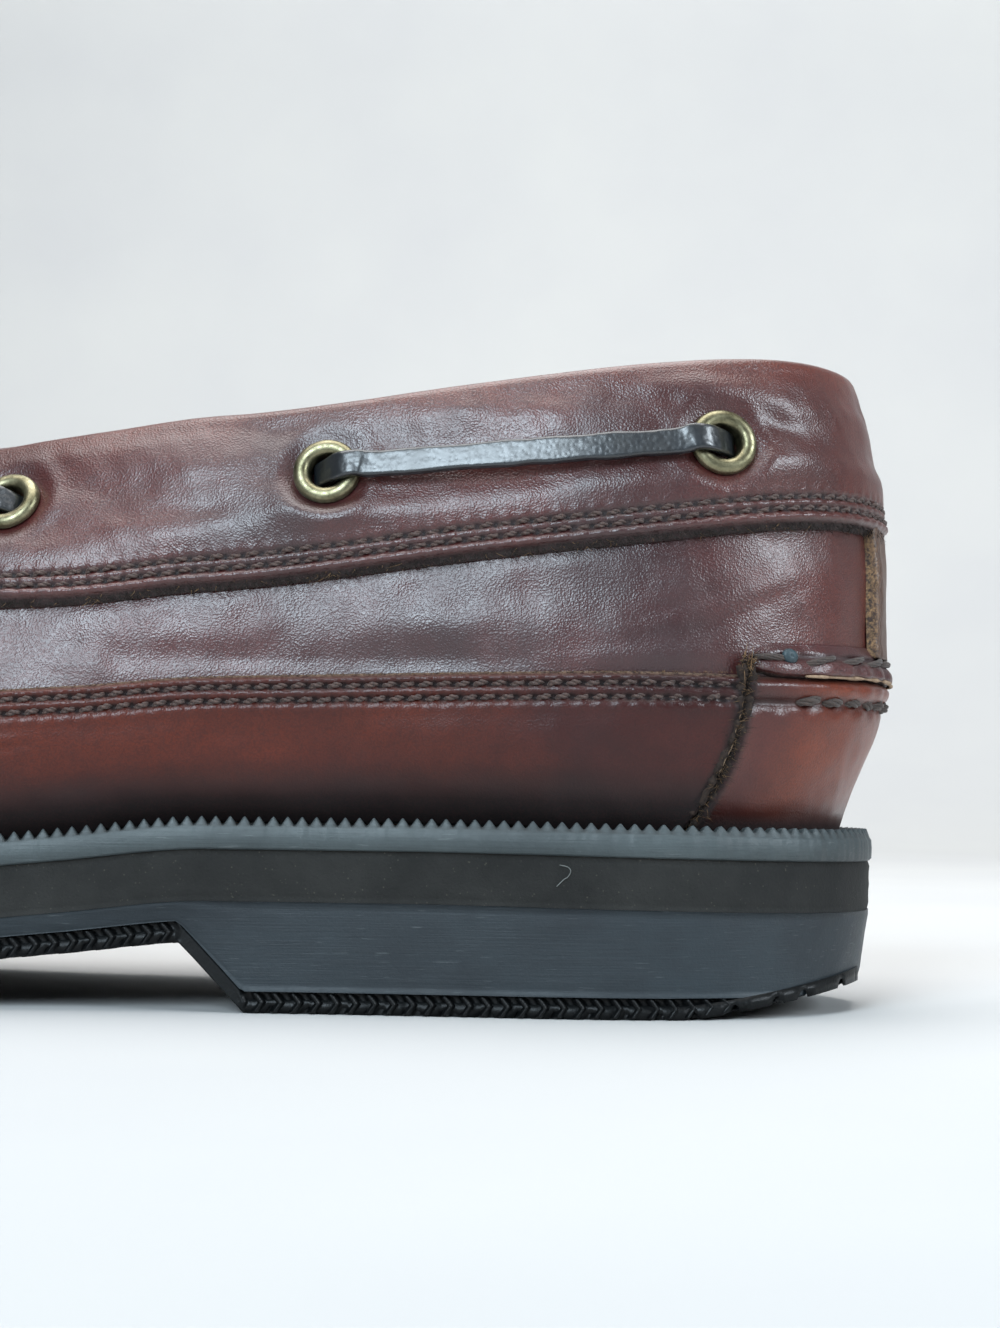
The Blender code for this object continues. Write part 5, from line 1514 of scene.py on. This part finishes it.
def raw_edge_fibres(dark, tan):
    """Hairs along the band's foot, the wrap's top edge and the heel seams."""
    random = np.random.default_rng(44)

    def along_form(u, t, out):
        near = np.mod(u, 1.0)
        points, normals = skin(near, t, out), form_normal(near, t)
        ahead = unit(skin(np.mod(near + 1e-3, 1.0), t, out) - skin(np.mod(near - 1e-3, 1.0), t, out))
        return points, normals, ahead

    dense = 1.0

    def scatter(start, end, per_mm):
        us = start + (end - start) * random.random(int((end - start) * ROUND * per_mm * dense))
        near = np.where(us > 0.9, us - 1, us)
        keep = (near > FINE_FROM) & (near < FINE_TO) | (random.random(len(us)) < 0.3)
        return us[keep]

    us = scatter(BAND_FROM, BAND_TO, BAND_FUZZ_PER_MM)
    rise = -BAND_FOOT_UNDER + 1.0 * random.random(len(us))
    near = np.mod(us, 1.0)
    t = rows_above_foot(near, band_foot(near), rise[:, None])[:, 0]
    points, normals, ahead = along_form(us, t, -1.0 + 0.65 * (rise + BAND_FOOT_UNDER))
    down = np.cross(ahead, normals)
    down *= np.sign(-down[:, 2:3])
    dark_part = random.random(len(us)) < 0.92
    for name, part, finish in (("band_edge_fuzz", dark_part, dark),
                               ("band_edge_hairs", ~dark_part, tan)):
        fibres(name, points[part], down[part], ahead[part], normals[part], finish,
               0.72, 0.055, 51, 0.8)
    us = scatter(patch_end(0.8, True), BAND_TO, WRAP_FUZZ_PER_MM)
    t = t_above(us, wrap_top(us), -0.25)
    points, normals, ahead = along_form(us, t, -0.75)
    upward = np.cross(ahead, normals)
    upward *= np.sign(upward[:, 2:3])
    fibres("wrap_edge_fuzz", points, upward, ahead, normals, tan, 0.30, 0.04, 52)
    for side, outer in SIDES:
        count = int(SEAM_FUZZ * dense)
        rise = SEAM_FUZZ_TOP * random.random(count) ** 0.9
        table = np.linspace(0, SEAM_FUZZ_TOP, 60)
        t = np.interp(rise, table, [t_at_rise(patch_end(0.5, outer), r)[0] for r in table])
        u = patch_edge_u(t, outer) + random.standard_normal(count) * 0.55 / ROUND
        points, normals, ahead = along_form(u, t, -0.1)
        fibres(f"heel_seam_fuzz_{side}", points, normals, ahead, np.cross(ahead, normals), dark,
               0.75, 0.06, 53, 0.8)
        few = random.random(count) < 0.22
        fibres(f"heel_seam_hairs_{side}", points[few] + normals[few] * 0.2, normals[few], ahead[few],
               np.cross(ahead[few], normals[few]), tan, 0.7, 0.05, 54, 0.8)


def turned_mesh(name, profile, steps, finish, u, t, out=0.0, wobble=0.0):
    """A ring turned from a closed profile of (radius, height), set on the form."""
    profile = np.array(profile)
    turn = 2 * math.pi * np.arange(steps) / steps
    centre, normal = skin(u, t, out), form_normal(u, t)
    side = np.cross(normal, np.array([0.0, 0.0, 1.0]))
    side /= np.linalg.norm(side)
    up = np.cross(side, normal)
    radius = profile[None, :, 0] * (1 + wobble * np.cos(2 * turn + 0.6)[:, None])
    ring = (centre + radius[..., None] * (np.cos(turn)[:, None, None] * side
            + np.sin(turn)[:, None, None] * up) + profile[None, :, 1, None] * normal)
    faces = grid_faces(steps, len(profile), True, True)
    return mesh_object(name, ring.reshape(-1, 3), faces, finish)


EYELET_HOLE, EYELET_FLANGE, EYELET_RISE = 2.65, 5.0, 1.15
EYELET_STEPS = 56


def build_eyelets(finish):
    """Rolled brass rings with a barrel through the wall and a flange behind it."""
    arc = np.linspace(math.pi, 0.12, 14)
    middle = (EYELET_HOLE + EYELET_FLANGE) / 2
    half = (EYELET_FLANGE - EYELET_HOLE) / 2
    dome = [(middle + half * math.cos(a), 0.05 + EYELET_RISE * math.sin(a) ** 0.8) for a in arc]
    lip = [(EYELET_FLANGE + 0.05, -0.05), (EYELET_FLANGE - 0.15, -0.35), (EYELET_HOLE + 0.7, -0.5)]
    barrel = [(EYELET_HOLE + 0.3, -4.2), (EYELET_HOLE + 1.3, -4.25), (EYELET_HOLE + 1.3, -4.5),
              (EYELET_HOLE, -4.55), (EYELET_HOLE - 0.02, -1.5)]
    profile = barrel + dome + lip
    for side, outer in SIDES:
        for index in range(len(EYELETS)):
            u, t = eyelet_place(index, outer)
            name = f"rolled_eyelet_{side}_{index + 1}"
            item = turned_mesh(name, profile, EYELET_STEPS, finish, u, t, 0.05, 0.006)
            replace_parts(item, f"eyelet_{side}_{index + 1}")


LACE_HALF_WIDTH, LACE_HALF_THICK, LACE_CORNER = 1.95, 0.62, 0.20
LACE_CLEAR, LACE_ARCH = 1.75, 0.25
LACE_FREE = 7.5
BAR_SHARES, BAR_ARCHES = (0.28, 0.5, 0.72), (2.5, 3.1, 2.5)


def smooth_path(points, steps):
    """A smooth line through a few points, as many steps between each pair."""
    points = np.array(points, float)
    padded = np.concatenate([[2 * points[0] - points[1]], points, [2 * points[-1] - points[-2]]])
    line = []
    for i in range(1, len(padded) - 2):
        before, start, end, after = padded[i - 1 : i + 3]
        for t in np.linspace(0, 1, steps, endpoint=False):
            line.append(
                start + 0.5 * t * (end - before)
                + t * t * (before - 2.5 * start + 2 * end - 0.5 * after)
                + 0.5 * t**3 * (3 * (start - end) + after - before)
            )
    return np.array(line + [points[-1]])


def flat_lace(name, path, facing, finish, seed):
    """A flat leather lace along a path, its face towards facing and its corners cut square."""
    along = unit(np.gradient(path, axis=0))
    out = unit(facing - along * np.sum(facing * along, axis=1)[:, None])
    side = np.cross(along, out)
    w, h, r = LACE_HALF_WIDTH, LACE_HALF_THICK, LACE_CORNER
    section = [(-w, -h + r), (-w, h - r), (-w + r, h)]
    section += [(x, h + 0.05) for x in np.linspace(-w + 0.5, w - 0.5, 9)]
    section += [(w - r, h), (w, h - r), (w, -h + r), (w - r, -h), (0, -h), (-w + r, -h)]
    section = np.array(section)
    length = np.concatenate([[0], np.cumsum(np.linalg.norm(np.diff(path, axis=0), axis=1))])
    wave = 1 + 0.035 * FINE(length, seed * 9.0)
    rough = 0.02 * ROUGH(length[:, None], section[None, :, 0] * 2 + seed)
    rings = (path[:, None] + side[:, None] * (section[None, :, 0] * wave[:, None])[..., None]
             + out[:, None] * (section[None, :, 1] + rough)[..., None])
    size = len(section)
    faces = [tuple(face) for face in grid_faces(len(path), size, False, True)]
    faces.append(tuple(reversed(range(size))))
    faces.append(tuple((len(path) - 1) * size + j for j in range(size)))
    return mesh_object(name, rings.reshape(-1, 3), faces, finish)


def through_eyelet(index, outer, toward):
    """Points and facings of a lace that comes out of an eyelet and bends over its rim."""
    u, t = eyelet_place(index, outer)
    centre, normal = skin(u, t, 0.0), form_normal(u, t)
    along = toward - centre
    along -= normal * np.dot(along, normal)
    along /= np.linalg.norm(along)
    steps = [
        # out, along, how far the face has turned from the hole's wall to the outside
        (-5.4, -1.9, 0.0),
        (-2.4, -1.75, 0.05),
        (-1.1, -1.2, 0.30),
        (0.4, 0.4, 0.45),
        (1.65, 2.0, 0.60),
        (2.15, 3.3, 0.92),
        (2.10, 5.0, 1.0),
    ]
    points = [centre + normal * out + along * ahead for out, ahead, _ in steps]
    facings = [-along * (1 - turn) + normal * turn for _, _, turn in steps]
    return points, facings


def build_side_laces(finish):
    """The lace runs that lie on the band between two eyelets."""
    for side, outer in SIDES:
        for number, (first, second) in enumerate(SIDE_LACES):
            (u1, t1), (u2, t2) = eyelet_place(first, outer), eyelet_place(second, outer)
            start, end = skin(u1, t1, 0.0), skin(u2, t2, 0.0)
            span = np.linalg.norm(end - start)
            shares = np.linspace(LACE_FREE / span, 1 - LACE_FREE / span, 5)
            middle = [skin(u1 + (u2 - u1) * k, t1 + (t2 - t1) * k - 0.004 * math.sin(math.pi * k),
                           LACE_CLEAR + LACE_ARCH * math.sin(math.pi * k)) for k in shares]
            faces_out = [form_normal(u1 + (u2 - u1) * k, t1 + (t2 - t1) * k) for k in shares]
            leave, leave_faces = through_eyelet(first, outer, end)
            enter, enter_faces = through_eyelet(second, outer, start)
            path = smooth_path(leave + middle + enter[::-1], 9)
            facing = smooth_path(leave_faces + faces_out + enter_faces[::-1], 9)
            name, seed = f"flat_lace_{side}_{number + 1}", number + 3.0 * outer
            item = flat_lace(name, path, facing, finish, seed)
            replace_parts(item, f"lace_{side}_{number + 1}")


def build_throat_laces(finish):
    """The two bars that cross the throat."""
    up = np.array([0.0, 0.0, 1.0])
    for number, index in enumerate(THROAT_EYELETS):
        halves = []
        for outer in (True, False):
            u, t = eyelet_place(index, outer)
            over = [skin(u, t + (1 - t) * share, out) for share, out in ((0.6, 2.1), (1.0, 2.7))]
            points, facings = through_eyelet(index, outer, over[1])
            faces_over = [form_normal(u, 0.98), form_normal(u, 0.98) * 0.6 + up * 0.6]
            halves.append((points + over, facings + faces_over))
        start, end = halves[0][0][-1], halves[1][0][-1]
        across = [start + (end - start) * share for share in BAR_SHARES]
        for point, arch in zip(across, BAR_ARCHES):
            point[2] += arch
        path = smooth_path(halves[0][0] + across + halves[1][0][::-1], 8)
        facing = smooth_path(halves[0][1] + [up] * 3 + halves[1][1][::-1], 8)
        item = flat_lace(f"flat_lace_throat_{number + 1}", path, facing, finish, 11.0 + number)
        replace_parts(item, f"lace_throat_{number + 1}")


def srgb(red, green, blue):
    """Linear colour from the red, green and blue of a screen, each out of 255."""
    parts = []
    for value in (red, green, blue):
        share = value / 255
        parts.append(share / 12.92 if share <= 0.04045 else ((share + 0.055) / 1.055) ** 2.4)
    return (*parts, 1.0)


class Finish:
    """A material with helpers that add its nodes."""

    def __init__(self, name):
        self.made = bpy.data.materials.new(name)
        self.made.use_nodes = True
        self.tree = self.made.node_tree
        self.shader = self.tree.nodes["Principled BSDF"]
        self.place = self.tree.nodes.new("ShaderNodeTexCoord").outputs["Object"]

    def node(self, kind, links=(), **values):
        made = self.tree.nodes.new(kind)
        for key, value in values.items():
            if key in made.inputs:
                made.inputs[key].default_value = value
            else:
                setattr(made, key, value)
        for key, source in links:
            self.tree.links.new(source, made.inputs[key])
        return made

    def set(self, **values):
        for key, value in values.items():
            self.shader.inputs[key.replace("_", " ")].default_value = value

    def link(self, source, name):
        self.tree.links.new(source, self.shader.inputs[name])

    def noise(self, scale, detail=4.0, rough=0.55, distort=0.0, place=None):
        node = self.node("ShaderNodeTexNoise", [("Vector", place or self.place)])
        node.inputs["Scale"].default_value = scale
        node.inputs["Detail"].default_value = detail
        node.inputs["Roughness"].default_value = rough
        node.inputs["Distortion"].default_value = distort
        return node.outputs["Fac"]

    def cells(self, scale, feature="F1"):
        node = self.node("ShaderNodeTexVoronoi", [("Vector", self.place)])
        node.feature = feature
        node.inputs["Scale"].default_value = scale
        return node.outputs["Distance"]

    def ramp(self, source, low, high, out_low=0.0, out_high=1.0):
        node = self.node("ShaderNodeMapRange", [("Value", source)])
        node.clamp = True
        limits = {"From Min": low, "From Max": high, "To Min": out_low, "To Max": out_high}
        for key, value in limits.items():
            node.inputs[key].default_value = value
        return node.outputs["Result"]

    def maths(self, how, one, two):
        node = self.node("ShaderNodeMath")
        node.operation = how
        for key, value in ((0, one), (1, two)):
            if isinstance(value, (int, float)):
                node.inputs[key].default_value = value
            else:
                self.tree.links.new(value, node.inputs[key])
        return node.outputs[0]

    def mix(self, share, one, two):
        node = self.node("ShaderNodeMix")
        node.data_type = "RGBA"
        for key, value in (("Factor", share), ("A", one), ("B", two)):
            socket = [s for s in node.inputs if s.name == key and s.enabled][0]
            if isinstance(value, (int, float, tuple)):
                socket.default_value = value
            else:
                self.tree.links.new(value, socket)
        return [s for s in node.outputs if s.enabled][0]

    def stretched(self, x, y, z):
        node = self.node("ShaderNodeMapping", [("Vector", self.place)])
        node.inputs["Scale"].default_value = (x, y, z)
        return node.outputs["Vector"]

    def bumps(self, *layers):
        """Bump from (height, strength, distance in metres) layers, coarse to fine."""
        normal = None
        for height, strength, distance in layers:
            node = self.node("ShaderNodeBump", [("Height", height)])
            node.inputs["Strength"].default_value = strength
            node.inputs["Distance"].default_value = distance
            if normal:
                self.tree.links.new(normal, node.inputs["Normal"])
            normal = node.outputs["Normal"]
        self.link(normal, "Normal")

    def tint(self):
        """The three shares that the mesh carries: painted shade, warmer, raw."""
        node = self.node("ShaderNodeAttribute")
        node.attribute_name = "tint"
        parts = self.node("ShaderNodeSeparateXYZ", [("Vector", node.outputs["Vector"])])
        return parts.outputs


def leather(name, main, deep, warm, raw, gloss=0.35, grain=1.0, shine=1.0):
    """Waxed pull-up leather: painted shade where the mesh marks folds, grooves, holes and seams, orange-brown
    where it stretches.
    """
    made = Finish(name)
    darker, warmer, cut = made.tint()
    broad, mottle = made.noise(38, 4, 0.6, 0.3), made.noise(420, 5, 0.65)
    colour = made.mix(made.ramp(broad, 0.38, 0.66), main, deep)
    pulled = made.maths("MULTIPLY", warmer, made.ramp(broad, 0.25, 0.7, 1.15, 0.7))
    colour = made.mix(made.ramp(pulled, 0.0, 1.0), colour, warm)
    colour = made.mix(made.ramp(mottle, 0.35, 0.75, 0.0, 0.4), colour, deep)
    # Painted shade: the mesh's darker share pulls the colour towards near black.
    shade = made.ramp(darker, 0.0, 1.0, 0.0, 0.95)
    colour = made.mix(shade, colour, srgb(12, 7, 7))
    fuzz = made.noise(1500, 3, 0.7)
    raw_colour = made.mix(made.ramp(fuzz, 0.42, 0.62), raw, srgb(24, 15, 12))
    colour = made.mix(cut, colour, raw_colour)
    pebbles = made.cells(3700, "SMOOTH_F1")
    pits = made.ramp(pebbles, 0.30, 0.62, 0.0, 0.55)
    colour = made.mix(made.maths("MULTIPLY", pits, grain), colour, deep)
    made.link(colour, "Base Color")
    rough = made.ramp(made.noise(160, 4, 0.6), 0.3, 0.7, gloss - 0.04, gloss + 0.07)
    rough = made.maths("MAXIMUM", rough, made.ramp(cut, 0.2, 0.8, 0.0, 0.92))
    rough = made.maths("MAXIMUM", rough, made.ramp(darker, 0.2, 0.9, 0.0, 0.85))
    made.link(rough, "Roughness")
    made.set(Coat_Weight=0.08 * shine, Coat_Roughness=0.30, Specular_IOR_Level=0.72 * shine)
    made.bumps((made.noise(260, 3, 0.5), 0.025, 0.0008), (pebbles, 0.36 * grain, 0.0002))
    return made.made


def thread(name, colour, dark):
    """Waxed thread with fine strands."""
    made = Finish(name)
    strands = made.noise(2600, 3, 0.7)
    made.link(made.mix(made.ramp(strands, 0.35, 0.7), colour, dark), "Base Color")
    made.set(Roughness=0.62, Sheen_Weight=0.15)
    made.bumps((strands, 0.6, 0.0001))
    return made.made


def brass():
    """Brass gone olive-grey, darker where it is pitted."""
    made = Finish("aged brass")
    worn, fine = made.noise(420, 5, 0.65), made.noise(1800, 4, 0.6)
    colour = made.mix(made.ramp(worn, 0.35, 0.68), srgb(150, 144, 116), srgb(92, 88, 66))
    colour = made.mix(made.ramp(fine, 0.58, 0.8, 0.0, 0.6), colour, srgb(70, 62, 42))
    made.link(colour, "Base Color")
    made.link(made.ramp(fine, 0.3, 0.7, 0.30, 0.50), "Roughness")
    made.set(Metallic=1.0)
    made.bumps((worn, 0.12, 0.0003), (fine, 0.10, 0.0001))
    return made.made


def lace_leather():
    """Dark blue-black lace with a waxy gloss."""
    made = Finish("dark lace leather")
    broad, fine = made.noise(260, 4, 0.6), made.cells(1500, "SMOOTH_F1")
    colour = made.mix(made.ramp(broad, 0.35, 0.7), srgb(22, 27, 33), srgb(10, 12, 15))
    made.link(colour, "Base Color")
    made.link(made.ramp(broad, 0.3, 0.7, 0.30, 0.40), "Roughness")
    made.set(Coat_Weight=0.3, Coat_Roughness=0.3, Specular_IOR_Level=0.8)
    made.bumps((made.noise(500, 3, 0.5), 0.05, 0.0004), (fine, 0.28, 0.0002))
    return made.made


def rubber(name, main, second, rough, brushed=0.0, speckle=None, streak=0.0, pores=0.0, shine=0.5):
    """Moulded or buffed rubber and foam, with specks of dust and painted shade in its low places."""
    made = Finish(name)
    darker, _, _ = made.tint()
    broad, fine = made.noise(60, 5, 0.65), made.noise(2200, 3, 0.6)
    colour = made.mix(made.ramp(broad, 0.35, 0.68), main, second)
    along = made.noise(60, 5, 0.6, 0.0, made.stretched(9.0, 1.0, 60.0))
    if brushed:
        colour = made.mix(made.ramp(along, 0.4, 0.75, 0.0, brushed), colour, srgb(28, 32, 36))
    if streak:
        marks = made.noise(210, 3, 0.5, 0.0, made.stretched(2.0, 1.0, 14.0))
        colour = made.mix(made.ramp(marks, 0.66, 0.72, 0.0, streak), colour, srgb(140, 146, 146))
    if speckle:
        dots = made.ramp(made.cells(1500), 0.22, 0.12, 0.0, 0.8)
        keep = made.ramp(made.noise(700, 2, 0.5), 0.5, 0.62)
        colour = made.mix(made.maths("MULTIPLY", dots, keep), colour, speckle)
    dust = made.ramp(made.cells(520), 0.06, 0.03, 0.0, 0.35)
    dust = made.maths("MULTIPLY", dust, made.ramp(made.noise(190, 2, 0.5), 0.60, 0.66))
    colour = made.mix(dust, colour, srgb(120, 122, 118))
    # Painted shade in the welt's notches and under the upper, from the mesh's darker share.
    colour = made.mix(made.ramp(darker, 0.0, 1.0, 0.0, 0.8), colour, srgb(18, 20, 20))
    made.link(colour, "Base Color")
    made.link(made.ramp(broad, 0.3, 0.7, rough - 0.06, rough + 0.08), "Roughness")
    made.set(Specular_IOR_Level=shine)
    layers = [(made.noise(300, 4, 0.6), 0.15, 0.0004), (fine, 0.25 + pores, 0.0002)]
    if brushed:
        layers.append((along, 0.35, 0.0002))
    made.bumps(*layers)
    return made.made


def plain(name, colour, second, rough=0.8, scale=900):
    """A dull finish of two colours for fibres, raw edges and small marks."""
    made = Finish(name)
    soft = made.noise(scale, 4, 0.6)
    made.link(made.mix(made.ramp(soft, 0.35, 0.7), colour, second), "Base Color")
    made.set(Roughness=rough)
    made.bumps((soft, 0.3, 0.0002))
    return made.made


CAMERA_AT = (388.0, 7.94, 32.3)
CAMERA_YAW, CAMERA_PITCH, CAMERA_ROLL = 0.1295, 0.053, 0.012
CAMERA_LENS, FILM_WIDTH = 88.2, 36.0


def build_camera():
    """The photograph's view: level with the sole, square to the outer heel half."""
    data = bpy.data.cameras.new("camera")
    data.lens, data.sensor_width, data.sensor_fit = CAMERA_LENS, FILM_WIDTH, "HORIZONTAL"
    data.clip_start = 0.01
    item = bpy.data.objects.new("camera", data)
    yaw, pitch = CAMERA_YAW, CAMERA_PITCH
    ahead = Vector((-math.cos(yaw) * math.cos(pitch), -math.sin(yaw) * math.cos(pitch), math.sin(pitch)))
    right = Vector((-math.sin(yaw), math.cos(yaw), 0.0))
    up = right.cross(ahead)
    turned = Matrix.Rotation(CAMERA_ROLL, 3, -ahead)
    right, up = turned @ right, turned @ up
    frame_axes = Matrix((right, up, -ahead)).transposed().to_4x4()
    item.matrix_world = Matrix.Translation(Vector(world(CAMERA_AT))) @ frame_axes
    bpy.context.scene.collection.objects.link(item)
    bpy.context.scene.camera = item


def area_light(name, place, size, power, colour, target):
    """A soft rectangular light aimed at a point, in metres."""
    data = bpy.data.lights.new(name, "AREA")
    data.shape = "RECTANGLE"
    data.size, data.size_y = size
    data.energy, data.color = power, colour
    item = bpy.data.objects.new(name, data)
    item.location = place
    item.rotation_mode = "QUATERNION"
    item.rotation_quaternion = (Vector(target) - Vector(place)).to_track_quat("-Z", "Y")
    bpy.context.scene.collection.objects.link(item)


SWEEP_AT, SWEEP_BEHIND, SWEEP_ROUND, SWEEP_HIGH, SWEEP_WIDE = 1.1, 2.2, 0.7, 2.6, 2.6
FLOOR_COLOURS = ((0.50, 0.50, 0.50, 1), (0.53, 0.53, 0.52, 1))
SKY_COLOUR, SKY_STRENGTH = (0.95, 0.97, 1.0, 1.0), 0.12
SHOE_AT, BACKDROP_AT = (0.0, 0.09, 0.05), (-1.8, 0.0, 0.3)
LIGHTS = (
    # name, place, size, watts, colour, target
    ("window", (1.46, -0.25, 0.86), (0.56, 0.86), 29.0, (0.74, 0.89, 1.0), SHOE_AT),
    ("side", (0.52, 1.45, 0.75), (0.42, 0.55), 17.0, (0.82, 0.92, 1.0), SHOE_AT),
    ("ceiling", (-0.3, 0.0, 1.3), (1.6, 1.6), 2.5, (1.0, 0.99, 0.97), SHOE_AT),
    ("backdrop light", (-0.75, 0.0, 1.5), (0.8, 2.6), 32.0, (1.0, 1.0, 1.0), BACKDROP_AT),
)


def build_stage():
    """A pale floor that turns up into a wall all round, and soft light from above the camera."""
    way = np.linspace(0, 2 * math.pi, 64, endpoint=False)
    reach_x = np.where(np.cos(way) < 0, SWEEP_AT, SWEEP_BEHIND)
    flat = 1 / np.hypot(np.cos(way) / reach_x, np.sin(way) / SWEEP_WIDE)
    turn = np.linspace(0, math.pi / 2, 16)
    outs = [flat * share for share in (0.02, 0.3, 0.7)]
    outs += [flat + SWEEP_ROUND * math.sin(angle) for angle in turn]
    outs.append(outs[-1])
    highs = [0.0, 0.0, 0.0, *(SWEEP_ROUND * (1 - np.cos(turn))), SWEEP_HIGH]
    points = []
    for out, high in zip(outs, highs):
        points += [(r * math.cos(a), r * math.sin(a), high) for r, a in zip(out, way)]
    faces = [tuple(face) for face in grid_faces(len(outs), len(way), closed_columns=True)]
    faces.append(tuple(range(len(way)))[::-1])
    mesh = bpy.data.meshes.new("floor")
    mesh.from_pydata(points, [], faces)
    for face in mesh.polygons:
        face.use_smooth = True
    made = Finish("pale floor")
    soft = made.noise(6, 3, 0.5)
    made.link(made.mix(made.ramp(soft, 0.3, 0.7), *FLOOR_COLOURS), "Base Color")
    made.set(Roughness=0.9)
    mesh.materials.append(made.made)
    floor = bpy.data.objects.new("floor", mesh)
    bpy.context.scene.collection.objects.link(floor)
    sky = bpy.data.worlds.new("studio")
    sky.use_nodes = True
    back = sky.node_tree.nodes["Background"]
    back.inputs["Color"].default_value = SKY_COLOUR
    back.inputs["Strength"].default_value = SKY_STRENGTH
    bpy.context.scene.world = sky
    for light in LIGHTS:
        area_light(*light)
    bpy.context.scene.view_settings.view_transform = "Standard"


def main():
    """Camera, stage, materials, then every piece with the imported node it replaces."""
    build_camera()
    build_stage()
    band = leather("band leather", srgb(84, 35, 31), srgb(52, 23, 24), srgb(104, 44, 28), srgb(30, 21, 16))
    quarter = leather("quarter leather", srgb(82, 37, 36), srgb(52, 26, 28), srgb(104, 44, 28),
                      srgb(62, 43, 31))
    wrap = leather("wrap leather", srgb(66, 24, 20), srgb(42, 16, 16), srgb(90, 32, 15),
                   srgb(120, 100, 82), 0.36, 0.7, 0.5)
    patch = leather("heel patch leather", srgb(82, 36, 30), srgb(60, 27, 24), srgb(122, 52, 25),
                    srgb(66, 48, 36), 0.34, 0.7, 0.65)
    stay = leather("back strip leather", srgb(84, 56, 42), srgb(62, 40, 32), srgb(108, 74, 50),
                   srgb(128, 98, 66), 0.5)
    twine = thread("dark waxed thread", srgb(80, 58, 50), srgb(40, 28, 25))
    hand_twine = thread("thick hand thread", srgb(66, 50, 42), srgb(30, 22, 19))
    dark_fuzz = plain("dark fibres", srgb(40, 29, 21), srgb(22, 16, 13), 0.95)
    tan_fuzz = plain("tan fibres", srgb(122, 94, 64), srgb(84, 62, 42), 0.9)

    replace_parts(build_band(band), "collar_band")
    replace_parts(build_upper(quarter), "upper")
    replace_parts(build_wrap(wrap), "wrap")
    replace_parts(build_heel_patch(patch), "heel_patch")
    build_heel_ridge(quarter)
    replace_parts(build_back_stay(stay), "back_stay")
    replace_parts(build_plug(band), "plug")
    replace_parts(build_tongue(band), "tongue")
    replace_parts(build_footbed(plain("footbed leather", srgb(150, 106, 72), srgb(116, 78, 52), 0.6)), "insole")
    welt_rubber = rubber("grey welt rubber", srgb(70, 79, 81), srgb(54, 62, 64), 0.5, 0.25, None, 0.15)
    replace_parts(build_welt(welt_rubber), "welt")
    foam = rubber("dark foam", srgb(31, 31, 29), srgb(23, 23, 22), 0.9, 0.0, srgb(66, 64, 56), 0.0, 0.4)
    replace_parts(build_midsole(foam), "midsole")
    blue = rubber("blue-grey rubber", srgb(35, 45, 51), srgb(27, 35, 41), 0.55, 0.3, None, 0.12)
    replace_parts(build_outsole(blue), "outsole")
    black = rubber("black tread rubber", srgb(10, 12, 13), srgb(7, 8, 9), 0.42, shine=0.25)
    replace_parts(build_tread(black), "tread")
    build_tread_foot(black)

    machine_rows(twine)
    moc_stitches(hand_twine)
    heel_stitches(hand_twine)
    cream = plain("cream raw edge", srgb(160, 136, 112), srgb(116, 92, 72), 0.85)
    seam_raw = plain("raw seam leather", srgb(50, 36, 28), srgb(26, 18, 15), 0.9, 1500)
    blue_dab = plain("blue-grey glue", srgb(48, 66, 72), srgb(34, 48, 54), 0.5)
    build_heel_details(seam_raw, cream, tan_fuzz, blue_dab)
    build_ridge_edge(cream)
    build_scuffs(cream, plain("grey dust", srgb(120, 124, 122), srgb(96, 98, 96)))
    raw_edge_fibres(dark_fuzz, tan_fuzz)
    build_eyelets(brass())
    lace = lace_leather()
    build_side_laces(lace)
    build_throat_laces(lace)


main()
